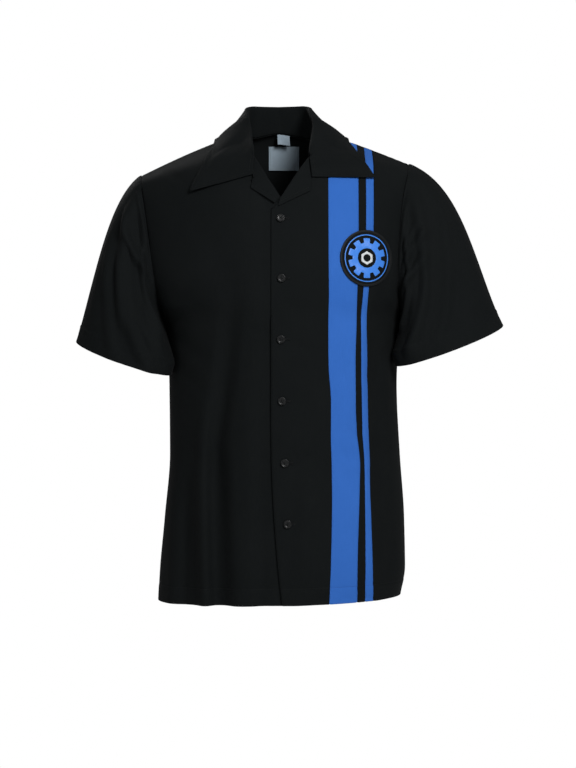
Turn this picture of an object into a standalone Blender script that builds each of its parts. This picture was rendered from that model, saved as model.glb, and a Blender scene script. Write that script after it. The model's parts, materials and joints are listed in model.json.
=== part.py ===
"""A short-sleeved camp-collar mechanic shirt, held in the shape in which it is worn, and hollow.

Metres, +Z up. The origin lies between the two neck points, where the wearer's shoulders hold the shirt. The front
faces -Y, so the wearer's left is at +X. Every piece of cloth is a closed wall: an outer sheet of points, and the same
sheet moved inwards along its normals.
"""

import math
from collections import namedtuple

import bmesh
import bpy
from mathutils import Matrix, Vector

# ---------------------------------------------------------------- driving sizes

CLOTH = 0.0014  # wall of the shell cloth
SEAM = 0.0003  # gap between two pieces where they are sewn
COLLAR_WALL = 0.0022  # two layers and an interlining
FACED_WALL = 0.0020  # turned-out lapel: the front and its facing
UNDERLAP_DROP = 0.0024  # how far the right front passes under the left one

NECK_MID = 0.004  # x of the middle of the neck
NECK_HALF = 0.070  # from there to each neck point
V_LEVEL = 8.68  # level of the bottom of the neck opening
CORNER_DROP = 0.26  # how far below it each front's corner starts, in levels
CORNER_REACH = 0.0125  # over this distance in x
SLOPE_POWER = 1.35  # 1 gives straight shoulders, 2 round ones

BUTTON_RADIUS = 0.0063
BUTTON_HEIGHT = 0.0028
BUTTON_RIM = 0.0013
BUTTON_HOLE = 0.0009
BUTTON_HOLE_OFFSET = 0.0015
BUTTON_EDGE = 0.0006  # bevel of its corners
BUTTON_FLOOR = 0.0020  # thickness inside the rim
BUTTON_STAND = 0.0008  # from the cloth to its back
BUTTON_SIDES, DRILL_SIDES = 18, 6

PATCH_RADIUS = 0.0435
PATCH_WALL = 0.0015
PATCH_RIM_WALL = 0.0009  # it thins out where it is sewn down
PATCH_GAP = 0.0006  # from the cloth to its back
PATCH_SIDES = 32
PATCH_TURN = 0.94  # the round patch lies on the turn of the chest, so it covers less width than height
PATCH_X, PATCH_Z = 0.1350, -0.1962

LABEL_WIDTH, LABEL_HEIGHT, LABEL_WALL = 0.050, 0.038, 0.0010
LABEL_X, LABEL_Z = 0.0078, -0.0170
LABEL_GAP = 0.0014  # how far the label hangs off the inside of the back

# ---------------------------------------------------------------- tables of the worn shape

UNDERARM = 5
SHOULDER = 11

# One row for each level, from the hem up: the middle of the row, its ends at the wearer's right and left (side seam
# up to the underarm, armhole above it), and the angle through which the row turns from middle to end.
Row = namedtuple("Row", "z_mid y_mid x_right x_left y_end z_right z_left turn")
FRONT = (
    Row(-0.7275, -0.146, 0.1925, 0.1940, 0.000, -0.733, -0.724, 90),  # hem
    Row(-0.680, -0.147, 0.1900, 0.2020, 0.000, -0.680, -0.678, 90),
    Row(-0.600, -0.144, 0.1825, 0.2000, 0.000, -0.600, -0.600, 90),  # hip
    Row(-0.500, -0.139, 0.1740, 0.1930, 0.000, -0.500, -0.500, 90),  # waist
    Row(-0.390, -0.139, 0.1750, 0.1880, 0.000, -0.390, -0.390, 90),  # ribs
    Row(-0.300, -0.142, 0.1820, 0.1930, 0.000, -0.300, -0.292, 90),  # underarm
    Row(-0.252, -0.144, 0.1890, 0.1900, -0.045, -0.268, -0.258, 82),
    Row(-0.200, -0.143, 0.1965, 0.1870, -0.066, -0.220, -0.208, 74),  # chest
    Row(-0.145, -0.136, 0.2045, 0.1900, -0.060, -0.168, -0.156, 66),
    Row(-0.085, -0.120, 0.2125, 0.1965, -0.049, -0.112, -0.096, 60),
    Row(-0.030, -0.082, 0.2185, 0.2045, -0.031, -0.075, -0.058, 54),
    Row(0.0275, 0.010, 0.2205, 0.2080, 0.003, -0.056, -0.038, 45),  # shoulder seam
)
BACK = (
    Row(-0.7290, 0.142, 0.1925, 0.1940, 0.000, -0.733, -0.724, 90),
    Row(-0.680, 0.142, 0.1900, 0.2020, 0.000, -0.680, -0.678, 90),
    Row(-0.600, 0.135, 0.1825, 0.2000, 0.000, -0.600, -0.600, 90),
    Row(-0.500, 0.125, 0.1740, 0.1930, 0.000, -0.500, -0.500, 90),
    Row(-0.390, 0.123, 0.1750, 0.1880, 0.000, -0.390, -0.390, 90),
    Row(-0.300, 0.131, 0.1820, 0.1930, 0.000, -0.300, -0.292, 90),
    Row(-0.248, 0.136, 0.1900, 0.1950, 0.048, -0.266, -0.256, 82),
    Row(-0.185, 0.137, 0.1990, 0.1950, 0.070, -0.212, -0.202, 74),  # shoulder blades
    Row(-0.115, 0.130, 0.2070, 0.1980, 0.068, -0.162, -0.150, 66),
    Row(-0.045, 0.110, 0.2145, 0.2020, 0.057, -0.110, -0.094, 60),
    Row(0.020, 0.084, 0.2190, 0.2060, 0.037, -0.075, -0.058, 54),
    Row(0.0275, 0.010, 0.2205, 0.2080, 0.003, -0.056, -0.038, 45),
)

# The neckline: how far up the cloth goes, by the share of the way from the middle of the neck to the neck point.
NeckRow = namedtuple("NeckRow", "share level")
FRONT_NECK = (NeckRow(0, V_LEVEL), NeckRow(0.60, 9.90), NeckRow(0.83, 10.50), NeckRow(1, SHOULDER))
BACK_NECK = (NeckRow(0, 10.12), NeckRow(0.50, 10.17), NeckRow(0.80, 10.45), NeckRow(1, SHOULDER))

# Upright seam lines of the fronts, by the height z: the left front's edge, and the edges of the inset stripes.
Line = namedtuple("Line", "z edge wide_in wide_out narrow_in narrow_out")
LINES = (
    Line(-0.728, 0.0053, 0.0780, 0.1213, 0.1338, 0.1461),
    Line(-0.660, -0.0020, 0.0805, 0.1220, 0.1345, 0.1454),
    Line(-0.560, -0.0090, 0.0822, 0.1253, 0.1341, 0.1433),
    Line(-0.515, -0.0107, 0.0818, 0.1263, 0.1336, 0.1438),
    Line(-0.470, -0.0115, 0.0806, 0.1222, 0.1306, 0.1416),
    Line(-0.420, -0.0118, 0.0808, 0.1184, 0.1288, 0.1397),
    Line(-0.357, -0.0118, 0.0767, 0.1174, 0.1272, 0.1388),
    Line(-0.300, -0.0118, 0.0763, 0.1200, 0.1272, 0.1369),
    Line(-0.247, -0.0117, 0.0772, 0.1214, 0.1306, 0.1390),
    Line(-0.190, -0.0116, 0.0768, 0.1237, 0.1348, 0.1458),
    Line(-0.100, -0.0116, 0.0768, 0.1240, 0.1360, 0.1482),
    Line(0.030, -0.0116, 0.0768, 0.1250, 0.1365, 0.1492),
)
RIGHT_EDGE = 0.0310  # how far the right front's own edge lies beyond the left front's

# The largest folds. Each runs straight down its row of (x, z) from top to foot; depth is how far the cloth goes in
# there, or out where it is negative, and width is from its middle line to where it ends.
Fold = namedtuple("Fold", "side x_top z_top x_foot z_foot width depth")
FOLDS = (
    Fold("front", -0.0710, -0.270, -0.0940, -0.490, 0.024, 0.0070),
    Fold("front", -0.0940, -0.490, -0.0820, -0.760, 0.028, 0.0090),
    Fold("front", -0.1420, -0.520, -0.1380, -0.760, 0.020, 0.0050),
    Fold("front", -0.1160, -0.420, -0.1140, -0.760, 0.020, -0.0040),
    Fold("front", -0.0480, -0.400, -0.0440, -0.760, 0.022, -0.0035),
    Fold("front", 0.1500, -0.330, 0.1560, -0.600, 0.022, 0.0050),
    Fold("front", 0.0500, -0.500, 0.0300, -0.760, 0.024, -0.0030),
    Fold("front", 0.1180, -0.300, 0.1080, -0.470, 0.026, -0.0045),
    Fold("back", -0.0900, -0.160, -0.0980, -0.760, 0.030, 0.0090),
    Fold("back", -0.0450, -0.330, -0.0480, -0.760, 0.026, -0.0050),
    Fold("back", 0.0100, -0.420, 0.0040, -0.760, 0.026, 0.0055),
    Fold("back", 0.0560, -0.300, 0.0540, -0.760, 0.026, -0.0050),
    Fold("back", 0.1060, -0.180, 0.1080, -0.760, 0.030, 0.0085),
)
FOLD_RUN_IN = 0.070  # length over which a fold dies out at its top and foot
FOLD_TURN = 0.35  # a fold goes in towards the middle of the shirt, by this share of the way along x

BUTTONS = (  # x, z
    (0.0031, -0.1365),
    (0.0046, -0.2288),
    (0.0037, -0.3218),
    (0.0052, -0.4163),
    (0.0094, -0.5110),
    (0.0135, -0.6037),
)

# ---------------------------------------------------------------- smooth reading of the tables


def slopes(places, values):
    """Slopes of a smooth curve through the values that never overshoots them."""
    steps = [(b - a) / (q - p) for p, q, a, b in zip(places, places[1:], values, values[1:])]
    middle = [0 if a * b <= 0 else 2 * a * b / (a + b) for a, b in zip(steps, steps[1:])]
    return [steps[0], *middle, steps[-1]]


def reader(places, rows):
    """A function from a place to a row, smooth in every column."""
    columns = list(zip(*rows))
    column_slopes = [slopes(places, column) for column in columns]
    make = type(rows[0])._make

    def read(place):
        place = min(max(place, places[0]), places[-1])
        i = max(k for k in range(len(places) - 1) if places[k] <= place)
        length = places[i + 1] - places[i]
        t = (place - places[i]) / length
        return make(
            (2 * t**3 - 3 * t**2 + 1) * column[i]
            + (t**3 - 2 * t**2 + t) * length * slope[i]
            + (3 * t**2 - 2 * t**3) * column[i + 1]
            + (t**3 - t**2) * length * slope[i + 1]
            for column, slope in zip(columns, column_slopes)
        )

    return read


def smooth(t):
    t = min(max(t, 0.0), 1.0)
    return t * t * (3 - 2 * t)


LEVELS = list(range(len(FRONT)))
READ = {"front": reader(LEVELS, FRONT), "back": reader(LEVELS, BACK)}
NECK = {
    "front": reader([row.share for row in FRONT_NECK], FRONT_NECK),
    "back": reader([row.share for row in BACK_NECK], BACK_NECK),
}
LINE_AT = reader([line.z for line in LINES], LINES)

# ---------------------------------------------------------------- the body of the shirt as one surface


def plain_point(side, across, level):
    """A point of the body without its folds. across runs from -1, the wearer's right, to 1."""
    row = READ[side](level)
    left = across > 0
    reach = row.x_left if left else row.x_right
    z_end = row.z_left if left else row.z_right
    turn = math.radians(row.turn)
    share = math.sin(abs(across) * turn) / math.sin(turn)
    bulge = (math.cos(abs(across) * turn) - math.cos(turn)) / (1 - math.cos(turn))
    rise = 1 - share**SLOPE_POWER
    return Vector(
        (
            math.copysign(share * reach, across),
            row.y_end + (row.y_mid - row.y_end) * bulge,
            z_end + (row.z_mid - z_end) * rise,
        )
    )


def across_of(side, x, level):
    row = READ[side](level)
    reach = row.x_left if x > 0 else row.x_right
    turn = math.radians(row.turn)
    share = min(abs(x) / reach * math.sin(turn), math.sin(turn))
    return math.copysign(math.asin(share) / turn, x)


def fold_depth(side, x, z):
    total = 0.0
    for fold in FOLDS:
        if fold.side != side or z > fold.z_top + FOLD_RUN_IN or z < fold.z_foot:
            continue
        share = min(max((fold.z_top - z) / (fold.z_top - fold.z_foot), 0.0), 1.0)
        away = abs(x - fold.x_top - share * (fold.x_foot - fold.x_top)) / fold.width
        ends = smooth((fold.z_top + FOLD_RUN_IN - z) / (2 * FOLD_RUN_IN))
        if fold.z_foot > FRONT[0].z_mid:
            ends *= smooth((z - fold.z_foot) / FOLD_RUN_IN)
        total += fold.depth * ends * (1 - smooth(away))
    return total


def body_point(side, across, level):
    """A point of the outer face of the body, folds and all."""
    point = plain_point(side, across, level)
    middle = plain_point(side, 0, level)
    depth_y = -point.y if level < SHOULDER - 1 else middle.y - point.y
    inwards = Vector((-FOLD_TURN * point.x, depth_y, 0))
    depth = fold_depth(side, point.x, point.z)
    return point + inwards.normalized() * depth if depth else point


def own_normal(side, across, level):
    """The outward direction of one side, from points a small step to each side."""
    step, lift = 0.01, 0.02
    a, b = max(across - step, -1), min(across + step, 1)
    c, d = max(level - lift, 0), min(level + lift, SHOULDER)
    sideways = body_point(side, b, level) - body_point(side, a, level)
    upwards = body_point(side, across, d) - body_point(side, across, c)
    normal = sideways.cross(upwards).normalized()
    return normal if side == "front" else -normal


def body_normal(side, across, level):
    """The outward direction, which front and back share along the shoulder seam."""
    normal = own_normal(side, across, level)
    share = smooth(level - (SHOULDER - 1))
    if not share:
        return normal
    seam = own_normal("front", across, SHOULDER) + own_normal("back", across, SHOULDER)
    return (normal * (1 - share) + seam.normalized() * share).normalized()


def level_of(side, across, z):
    """The level at which the row through this share of its width lies at height z."""
    low, high = 0.0, float(SHOULDER)
    for _ in range(40):
        middle = (low + high) / 2
        if plain_point(side, across, middle).z < z:
            low = middle
        else:
            high = middle
    return (low + high) / 2


def place_on(side, x, z):
    """(across, level) of the point of this side that lies at x and z, seen from straight ahead."""
    across, level = 0.0, 5.0
    for _ in range(12):
        level = level_of(side, across, z)
        across = across_of(side, x, level)
    return across, level


def laid(side, x, z, lift):
    """The point that lies this far out from the body at x and z."""
    across, level = place_on(side, x, z)
    return body_point(side, across, level) + body_normal(side, across, level) * lift


def top_level(side, x):
    """Where the cloth ends at the top: the shoulder seam, or the neckline inside the neck points."""
    share = abs(x - NECK_MID) / NECK_HALF
    return NECK[side](share).level if share < 1 else float(SHOULDER)


# ---------------------------------------------------------------- making solids


def material(name, colour, roughness, metallic=0.0):
    made = bpy.data.materials.new(name)
    made.use_nodes = True
    shader = made.node_tree.nodes["Principled BSDF"]
    shader.inputs["Base Color"].default_value = (*colour, 1)
    shader.inputs["Roughness"].default_value = roughness
    shader.inputs["Metallic"].default_value = metallic
    made.diffuse_color = (*colour, 1)
    return made


def wall(name, outer, inner, finish, ring=False):
    """A closed solid between two equal grids of points, rows upwards. A ring joins the ends of each row."""
    rows, columns = len(outer), len(outer[0])
    points = [point for grid in (outer, inner) for row in grid for point in row]
    half = rows * columns

    def index(row, column):
        return row * columns + column % columns

    faces = []
    for row in range(rows - 1):
        for column in range(columns if ring else columns - 1):
            quad = [
                index(row, column),
                index(row, column + 1),
                index(row + 1, column + 1),
                index(row + 1, column),
            ]
            faces += [quad, [half + corner for corner in reversed(quad)]]
    rim = []
    for column in range(columns if ring else columns - 1):
        rim += [(index(0, column), index(0, column + 1))]
        rim += [(index(rows - 1, column + 1), index(rows - 1, column))]
    if not ring:
        for row in range(rows - 1):
            rim += [(index(row + 1, 0), index(row, 0))]
            rim += [(index(row, columns - 1), index(row + 1, columns - 1))]
    faces += [[b, a, half + a, half + b] for a, b in rim]
    mesh = bpy.data.meshes.new(name)
    mesh.from_pydata(points, [], faces)
    mesh.materials.append(finish)
    tidy = bmesh.new()
    tidy.from_mesh(mesh)
    if tidy.calc_volume(signed=True) < 0:
        bmesh.ops.reverse_faces(tidy, faces=tidy.faces)
    tidy.to_mesh(mesh)
    tidy.free()
    mesh.shade_smooth()
    mesh.set_sharp_from_angle(angle=math.radians(50))
    made = bpy.data.objects.new(name, mesh)
    bpy.context.scene.collection.objects.link(made)
    return made


def drawn_in(grid, gap):
    """The grid with its outermost points moved in by half a seam gap."""
    rows = [list(row) for row in grid]
    for edge, inside in ((0, 1), (-1, -2)):
        for row in rows:
            row[edge] = row[edge] + (row[inside] - row[edge]).normalized() * gap / 2
    for edge, inside in ((0, 1), (-1, -2)):
        rows[edge] = [a + (b - a).normalized() * gap / 2 for a, b in zip(rows[edge], rows[inside])]
    return rows


def along_line(a, b, share):
    return a[0] + (b[0] - a[0]) * share, a[1] + (b[1] - a[1]) * share


def spread(count, start=0.0, end=1.0):
    return [start + (end - start) * i / count for i in range(count + 1)]


# ---------------------------------------------------------------- fronts and back

ROWS_BELOW = [0, 0.5, 1, 1.6, 2.2, 2.8, 3.4, 4, 4.5, 5, 5.5, 6, 6.5, 7]
ROWS_ABOVE = 9


def row_levels(top):
    """Levels of a column of points from the hem to its top; below the chest they are the same in every column."""
    return ROWS_BELOW + spread(ROWS_ABOVE, ROWS_BELOW[-1], top)[1:]


def panel(name, side, columns, top_of, finish, drop_of=None):
    """A panel between upright lines. Each column is a function from a level to x, or -1 or 1 for a side seam."""
    rows = len(row_levels(0))
    outer = [[] for _ in range(rows)]
    inner = [[] for _ in range(rows)]
    for column in columns:
        top = top_of(column)
        for row, level in enumerate(row_levels(top)):
            across = column(level)
            point = body_point(side, across, level)
            normal = body_normal(side, across, level)
            if drop_of:
                point = point - normal * drop_of(point)
            outer[row].append(point)
            inner[row].append(point - normal * CLOTH)
    normals = [[(a - b) for a, b in zip(*pair)] for pair in zip(outer, inner)]
    outer = drawn_in(outer, SEAM)
    inner = [[a - b for a, b in zip(*pair)] for pair in zip(outer, normals)]
    return wall(name, outer, inner, finish)


def z_at(side, level):
    return READ[side](level).z_mid


def line_column(side, which, shift=0.0):
    """A column that follows one of the upright seam lines."""

    def column(level):
        line = LINE_AT(z_at(side, level))
        return across_of(side, getattr(line, which) + shift, level)

    return column


def side_column(side_sign):
    return lambda level: side_sign


def between(first, last, share):
    """A column this share of the way from one column to another."""
    return lambda level: first(level) + (last(level) - first(level)) * share


def columns_between(first, last, count):
    return [between(first, last, share) for share in spread(count)]


def neck_column(side, sign):
    """The column whose top is the neck point, straight down from there."""
    x = NECK_MID + sign * NECK_HALF
    return lambda level: across_of(side, x, level)


def front_top(sign):
    """The top of a front. Past the middle of the neck the edge turns down in a corner."""

    def top(column):
        level = V_LEVEL
        for _ in range(6):
            x = plain_point("front", column(level), level).x
            beyond = (NECK_MID - x) * sign / CORNER_REACH
            level = V_LEVEL - CORNER_DROP * min(beyond, 1) if beyond > 0 else top_level("front", x)
        return level

    return top


def back_top(column):
    return top_level("back", plain_point("back", column(SHOULDER), SHOULDER).x)


def underlap(point):
    """How far the right front is sunk there, to pass under the left one."""
    return UNDERLAP_DROP * smooth((point.x + 0.042) / 0.024)


def make_fronts(black, blue):
    edge = line_column("front", "edge")
    own_edge = line_column("front", "edge", RIGHT_EDGE)
    neck_right, neck_left = neck_column("front", -1), neck_column("front", 1)
    right = columns_between(side_column(-1), neck_right, 10) + columns_between(neck_right, own_edge, 8)[1:]
    panel("front_right", "front", right, front_top(-1), black, underlap)
    seams = {name: line_column("front", name) for name in Line._fields[2:]}
    inner = columns_between(edge, neck_left, 7) + [seams["wide_in"]]
    panel("front_left_inner", "front", inner, front_top(1), black)
    wide = columns_between(seams["wide_in"], seams["wide_out"], 4)
    panel("stripe_wide", "front", wide, front_top(1), blue)
    panel("stripe_gap", "front", [seams["wide_out"], seams["narrow_in"]], front_top(1), black)
    panel("stripe_narrow", "front", [seams["narrow_in"], seams["narrow_out"]], front_top(1), blue)
    outer = columns_between(seams["narrow_out"], side_column(1), 6)
    panel("front_left_outer", "front", outer, front_top(1), black)


def make_back(black):
    neck_right, neck_left = neck_column("back", -1), neck_column("back", 1)
    columns = columns_between(side_column(-1), neck_right, 7)
    columns += columns_between(neck_right, neck_left, 10)[1:]
    columns += columns_between(neck_left, side_column(1), 7)[1:]
    panel("back", "back", columns, back_top, black)


# ---------------------------------------------------------------- sleeves

# Where each sleeve ends: the outer and inner ends of the opening, and how far its front comes forward and down.
Cuff = namedtuple("Cuff", "outer inner depth tilt")
CUFFS = {
    -1: Cuff(Vector((-0.3215, -0.012, -0.3220)), Vector((-0.1695, -0.053, -0.3740)), 0.058, 0.0095),
    1: Cuff(Vector((0.3555, -0.012, -0.2965)), Vector((0.1840, -0.053, -0.3600)), 0.060, 0.0095),
}
# The directions in which the sleeve leaves the armhole and reaches the cuff, at the underarm, the front, the
# shoulder and the back. The longer each is, the further the sleeve goes that way before it turns.
Start = namedtuple("Start", "out forward down")
STARTS = {
    -1: (
        Start(0.030, 0.022, 0.014),
        Start(0.085, 0.045, 0.060),
        Start(0.165, 0.000, 0.112),
        Start(0.090, -0.040, 0.060),
    ),
    1: (
        Start(0.047, 0.012, 0.014),
        Start(0.090, 0.045, 0.055),
        Start(0.275, 0.000, 0.105),
        Start(0.100, -0.040, 0.055),
    ),
}
ENDS = {
    -1: (
        Start(0.016, -0.080, 0.080),
        Start(0.030, 0.006, 0.150),
        Start(0.075, 0.000, 0.240),
        Start(0.030, -0.006, 0.150),
    ),
    1: (
        Start(0.016, -0.080, 0.080),
        Start(0.040, 0.006, 0.150),
        Start(0.120, 0.000, 0.230),
        Start(0.040, -0.006, 0.150),
    ),
}
SLEEVE_ROWS = 11

# Folds of the sleeves, from (around, along) to (around, along). around is 0 at the underarm, 0.25 in front and 0.5 at
# the shoulder, and along is 0 at the armhole and 1 at the cuff.
SleeveFold = namedtuple("SleeveFold", "sign around_top along_top around_foot along_foot width depth")
SLEEVE_FOLDS = (
    SleeveFold(-1, 0.36, 0.20, 0.16, 0.95, 0.050, 0.0070),
    SleeveFold(-1, 0.27, 0.05, 0.10, 0.50, 0.045, 0.0060),
    SleeveFold(-1, 0.37, 0.50, 0.28, 0.92, 0.040, 0.0045),
    SleeveFold(-1, 0.66, 0.15, 0.86, 0.80, 0.050, 0.0065),
    SleeveFold(-1, 0.76, 0.05, 0.92, 0.45, 0.045, 0.0055),
    SleeveFold(1, 0.34, 0.12, 0.12, 0.80, 0.045, 0.0070),
    SleeveFold(1, 0.27, 0.05, 0.08, 0.45, 0.045, 0.0060),
    SleeveFold(1, 0.39, 0.30, 0.22, 0.85, 0.035, 0.0035),
    SleeveFold(1, 0.67, 0.15, 0.87, 0.80, 0.050, 0.0065),
    SleeveFold(1, 0.77, 0.05, 0.93, 0.45, 0.045, 0.0055),
)
SLEEVE_FOLD_END = 0.35  # share of its length over which a fold dies out beyond each end
SLEEVE_FOLD_START = 0.12  # no fold reaches the armhole: all of them grow over this share of the sleeve


def sleeve_fold_depth(sign, around, along):
    total = 0.0
    for fold in SLEEVE_FOLDS:
        if fold.sign != sign:
            continue
        share = (along - fold.along_top) / (fold.along_foot - fold.along_top)
        middle = fold.around_top + min(max(share, 0), 1) * (fold.around_foot - fold.around_top)
        past = max(-share, share - 1, 0) / SLEEVE_FOLD_END
        total += fold.depth * (1 - smooth(past)) * (1 - smooth(abs(around - middle) / fold.width))
    return total * smooth(along / SLEEVE_FOLD_START)


def armhole(sign, around):
    """(side, across, level) on the armhole, from the underarm up the front, over the shoulder and down the back."""
    span = SHOULDER - UNDERARM
    if around <= 0.5:
        return "front", sign, UNDERARM + span * around * 2
    return "back", sign, UNDERARM + span * (1 - around) * 2


def blend_four(rows, around):
    """Reads a table of underarm, front, shoulder and back all round, with no kink."""
    quarter = around * 4 % 4
    i = int(quarter)
    share = smooth(quarter - i)
    first, last = rows[i], rows[(i + 1) % 4]
    return Start(*(a + (b - a) * share for a, b in zip(first, last)))


def along_start(sign, start):
    return Vector((sign * start.out, -start.forward, -start.down))


def cuff_point(sign, around):
    cuff = CUFFS[sign]
    middle = (cuff.outer + cuff.inner) / 2
    angle = 2 * math.pi * around
    point = middle + (cuff.inner - middle) * math.cos(angle)
    return point + Vector((0, -cuff.depth, -cuff.tilt)) * math.sin(angle)


def sleeve_point(sign, around, along):
    side, across, level = armhole(sign, around % 1)
    start = body_point(side, across, level)
    end = cuff_point(sign, around)
    leave = along_start(sign, blend_four(STARTS[sign], around))
    arrive = along_start(sign, blend_four(ENDS[sign], around))
    t = along
    point = start * (2 * t**3 - 3 * t**2 + 1) + leave * (t**3 - 2 * t**2 + t)
    return point + end * (3 * t**2 - 2 * t**3) + arrive * (t**3 - t**2)


def sleeve_plain_normal(sign, around, along):
    a, b = sleeve_point(sign, around - 0.01, along), sleeve_point(sign, around + 0.01, along)
    c = sleeve_point(sign, around, max(along - 0.02, 0))
    d = sleeve_point(sign, around, min(along + 0.02, 1))
    normal = (b - a).cross(d - c).normalized()
    return normal * sign


SLEEVE_BLEND = 0.10  # share of the sleeve over which its direction passes from the body's to its own
FOLDS_BACK = 0.35  # the sleeve folds back where it leaves the body more steeply than this


def sleeve_normal(sign, around, along):
    """The outward direction. Where it is sewn in, the sleeve shares the body's, unless it folds back there."""
    own = sleeve_plain_normal(sign, around, along)
    share = 1 - smooth(along / SLEEVE_BLEND)
    if not share:
        return own
    side, across, level = armhole(sign, around % 1)
    seam = body_normal(side, across, level)
    start = along_start(sign, blend_four(STARTS[sign], around))
    if seam.dot(start.normalized()) > FOLDS_BACK:
        return own
    return (own * (1 - share) + seam * share).normalized()


def ring_places():
    """The places round a sleeve that face the points of the armhole's edge."""
    up = [(level - UNDERARM) / (SHOULDER - UNDERARM) / 2 for level in row_levels(SHOULDER) if level >= UNDERARM]
    return up + [1 - around for around in reversed(up[1:-1])]


def make_sleeve(name, sign, black):
    outer, inner = [], []
    for along in spread(SLEEVE_ROWS):
        outer_row, inner_row = [], []
        for around in ring_places():
            normal = sleeve_normal(sign, around, along)
            point = sleeve_point(sign, around, along)
            if not along:
                out = sleeve_point(sign, around, 0.02) - point
                point = point + out.normalized() * SEAM * 2
            point = point - normal * sleeve_fold_depth(sign, around, along)
            outer_row.append(point)
            inner_row.append(point - normal * CLOTH)
        outer.append(outer_row)
        inner.append(inner_row)
    return wall(name, outer, inner, black, ring=True)


# ---------------------------------------------------------------- collar

# One half of the collar, from the centre of the back to its end in front. share is the way along it, neck the share
# of the way along the neckline where it is sewn, fold the top of the roll, and roll the radius of the fold.
Collar = namedtuple("Collar", "share neck fold_x fold_y fold_z roll")
COLLAR = (
    Collar(0.00, 0.00, 0.0000, 0.0760, 0.0635, 0.0034),
    Collar(0.20, 0.50, 0.0360, 0.0690, 0.0635, 0.0034),
    Collar(0.38, 0.82, 0.0505, 0.0470, 0.0580, 0.0034),
    Collar(0.52, 1.00, 0.0510, 0.0140, 0.0400, 0.0034),
    Collar(0.70, 0.86, 0.0480, -0.0280, 0.0080, 0.0032),
    Collar(0.86, 0.72, 0.0455, -0.0640, -0.0140, 0.0030),
    Collar(1.00, 0.62, 0.0438, -0.0870, -0.0310, 0.0026),
)
FOLD_MID_BACK, FOLD_MID_FRONT = -0.0015, 0.0045  # x of the middle of the roll
FOLD_MID_START, FOLD_MID_RUN = 0.38, 0.30  # shares of the collar over which it passes from one to the other
TIP_SHARE = 0.72  # where along the collar its point lies
Edge = namedtuple("Edge", "share x y z")
BACK_EDGE = (  # the lower edge of the turned-down part, round to the shoulder
    Edge(0.00, 0.0000, 0.1040, -0.0060),
    Edge(0.20, 0.0560, 0.0960, -0.0060),
    Edge(0.38, 0.0930, 0.0560, -0.0050),
    Edge(0.52, 0.1040, 0.0080, -0.0045),
)
Tip = namedtuple("Tip", "x z notch_x notch_z")
TIPS = {-1: Tip(-0.1330, -0.0932, -0.0396, -0.0675), 1: Tip(0.1470, -0.0698, 0.0515, -0.0715)}
COLLAR_LIFT = 0.0028  # middle of the collar's wall over the cloth that it lies on
STAND_GAP = 0.0016  # from the neckline's edge up to where the collar's wall starts
RIDGE_SHARE = 0.58  # where along it the collar passes over the shoulder seam
RIDGE_LIFT = 0.0026  # how much further out it stands as it passes over the shoulder seam
RIDGE_RUN = 0.32  # share of the collar over which that dies out
FALL_PUFF = 0.0020  # how far the turned-down part bulges there, half way down
COLLAR_STATIONS = 21  # in each half
RIDGE_SHARES = 0.500, 0.546  # more of them, where the collar's edge turns over the shoulder seam
FALL_STEPS = 7

READ_COLLAR = reader([row.share for row in COLLAR], COLLAR)
READ_BACK_EDGE = reader([row.share for row in BACK_EDGE], BACK_EDGE)
NET = [
    (side, across / 10, level / 4)
    for side in ("front", "back")
    for level in range(30, 4 * SHOULDER + 1)
    for across in range(-10, 11)
]
NET_POINTS = [body_point(*place) for place in NET]


def nearest_on_body(point):
    """(side, across, level) of the point of the chest, shoulders and back that is nearest."""
    start = min(range(len(NET)), key=lambda i: (NET_POINTS[i] - point).length_squared)
    side, across, level = NET[start]
    step = 0.5
    best = (NET_POINTS[start] - point).length
    while step > 0.002:
        moved = False
        for da, dl in ((0.1, 0), (-0.1, 0), (0, 0.25), (0, -0.25)):
            a = min(max(across + da * step, -1), 1)
            b = min(max(level + dl * step, 0), SHOULDER)
            far = (body_point(side, a, b) - point).length
            if far < best - 1e-7:
                across, level, best, moved = a, b, far, True
        if not moved:
            step /= 2
    return side, across, level


def pushed_clear(point, lift):
    """The point, moved out to lie at least this far from the body."""
    place = nearest_on_body(point)
    on, normal = body_point(*place), body_normal(*place)
    away = (point - on).dot(normal)
    return on + normal * lift if away < lift else point


def neck_place(side, sign, share):
    x = NECK_MID + sign * share * NECK_HALF
    level = top_level(side, x)
    return side, across_of(side, x, level), level


def fold_point(sign, share):
    row = READ_COLLAR(share)
    middle = FOLD_MID_BACK + (FOLD_MID_FRONT - FOLD_MID_BACK) * smooth((share - FOLD_MID_START) / FOLD_MID_RUN)
    return Vector((middle + sign * row.fold_x, row.fold_y, row.fold_z))


def edge_point(sign, share):
    tip = TIPS[sign]
    if share <= BACK_EDGE[-1].share:
        row = READ_BACK_EDGE(share)
        return pushed_clear(Vector((NECK_MID + sign * row.x, row.y, row.z)), COLLAR_LIFT)
    if share < TIP_SHARE:
        last = BACK_EDGE[-1]
        way = (share - last.share) / (TIP_SHARE - last.share)
        x, z = along_line((NECK_MID + sign * last.x, last.z), (tip.x, tip.z), way)
        return laid("front", x, z, COLLAR_LIFT)
    way = (share - TIP_SHARE) / (1 - TIP_SHARE)
    x = tip.x + (tip.notch_x - tip.x) * way
    z = tip.z + (tip.notch_z - tip.z) * way
    return laid("front", x, z, COLLAR_LIFT)


def ridge_at(share):
    return 1 - smooth(abs(share - RIDGE_SHARE) / RIDGE_RUN)


def collar_lift(share, way):
    """How far the collar lies from the cloth there: more as it passes over the shoulder."""
    return COLLAR_LIFT + RIDGE_LIFT * ridge_at(share) * (0.35 + 0.65 * math.sin(math.pi * way) ** 0.5)


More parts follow.
